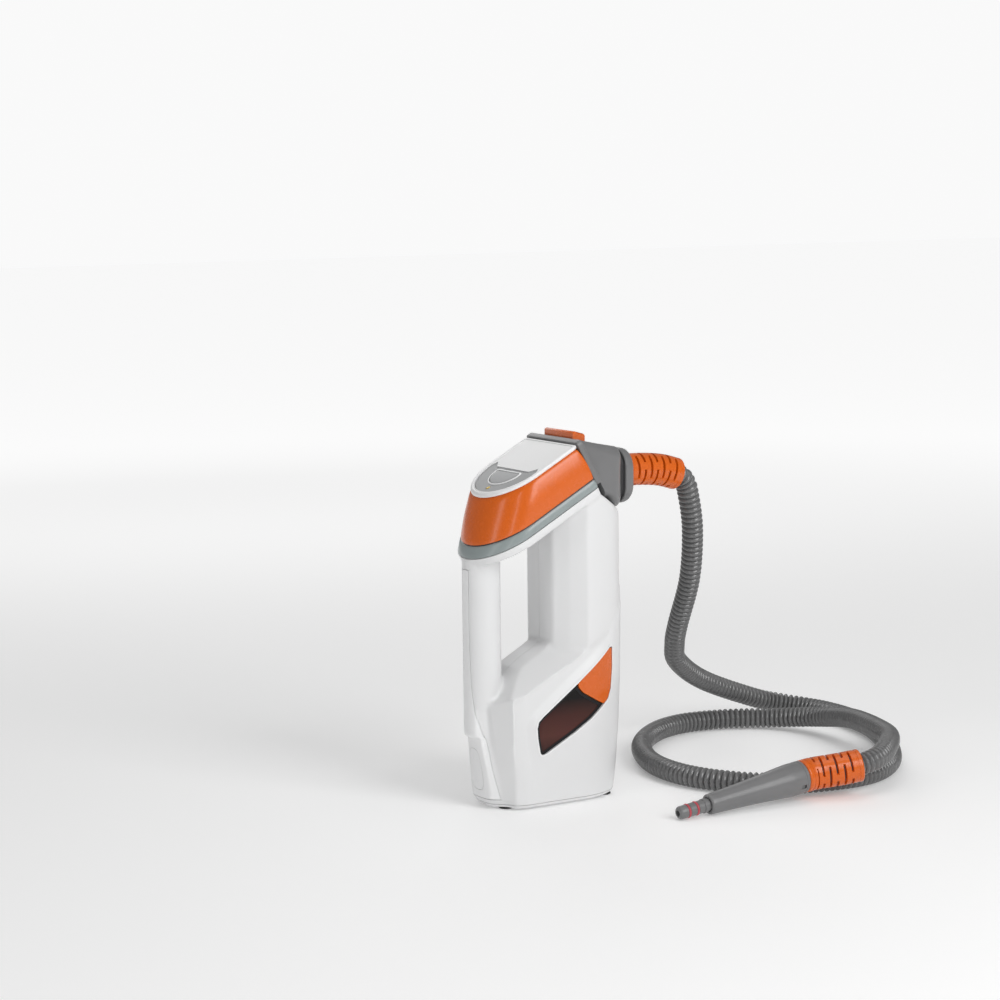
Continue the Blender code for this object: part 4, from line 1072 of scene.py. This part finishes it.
# ---------------------------------------------------------- floor and lights

floor_material = plastic("studio_floor", (0.82, 0.82, 0.82), 0.7, mottle=0.003, grain=60.0, specular=0.1)
floor_tree = floor_material.node_tree
floor_shader = floor_tree.nodes["Principled BSDF"]
floor_shader.inputs["Emission Color"].default_value = (1.0, 1.0, 1.0, 1.0)
reach = node(floor_tree, "ShaderNodeVectorMath", operation="LENGTH")
floor_tree.links.new(floor_tree.nodes["Place"].outputs["Object"], reach.inputs[0])
glow = node(floor_tree, "ShaderNodeMapRange", interpolation_type="SMOOTHSTEP")
# Metres from the middle and the glow there, which evens the floor out to the horizon
for name, value in (("From Min", 0.4), ("From Max", 3.0), ("To Min", 0.20), ("To Max", 0.72)):
    glow.inputs[name].default_value = value
floor_tree.links.new(reach.outputs["Value"], glow.inputs["Value"])
floor_tree.links.new(glow.outputs["Result"], floor_shader.inputs["Emission Strength"])
bm = bmesh.new()
FLOOR_HALF = 12.0
bmesh.ops.create_grid(bm, x_segments=2, y_segments=2, size=FLOOR_HALF)
floor_object = from_bmesh("studio_floor", bm)
floor_object.data.materials.append(floor_material)

TARGET = Vector((0.0, 0.055, 0.14))
flat_back = Vector((back.x, back.y, 0.0)).normalized()
LIGHTS = (
    # name, offset from the target, size, power in watts
    ("key", flat_back * 1.2 + level * 1.1 + Vector((0, 0, 0.9)), (0.9, 1.2), 18.5),
    ("strip_left", flat_back * 1.2 - level * 1.5 + Vector((0, 0, 0.25)), (0.3, 1.5), 4.0),
    ("strip_front", flat_back * 2.0 - level * 0.35 + Vector((0, 0, 0.35)), (0.14, 1.5), 3.0),
    ("top", Vector((0.1, 0.0, 1.7)), (1.4, 1.4), 7.0),
    ("rear", -flat_back * 1.5 - level * 0.4 + Vector((0, 0, 1.0)), (1.2, 1.0), 5.0),
)
for name, offset, size, power in LIGHTS:
    data = bpy.data.lights.new(name, "AREA")
    data.shape = "RECTANGLE"
    data.size, data.size_y = size
    data.energy = power
    light = bpy.data.objects.new(name, data)
    light.location = TARGET + offset
    light.rotation_euler = (-offset).to_track_quat("-Z", "Y").to_euler()
    bpy.context.scene.collection.objects.link(light)

world = bpy.data.worlds.new("studio")
world.use_nodes = True
sky_tree = world.node_tree
sky = sky_tree.nodes["Background"]
sky.inputs["Color"].default_value = (1.0, 1.0, 1.0, 1.0)
seen = sky_tree.nodes.new("ShaderNodeLightPath")
strength = sky_tree.nodes.new("ShaderNodeMapRange")
strength.inputs["To Min"].default_value = 0.26    # light on the object
strength.inputs["To Max"].default_value = 0.95    # backdrop as seen
sky_tree.links.new(seen.outputs["Is Camera Ray"], strength.inputs["Value"])
sky_tree.links.new(strength.outputs["Result"], sky.inputs["Strength"])
bpy.context.scene.world = world
bpy.context.scene.view_settings.view_transform = "Standard"
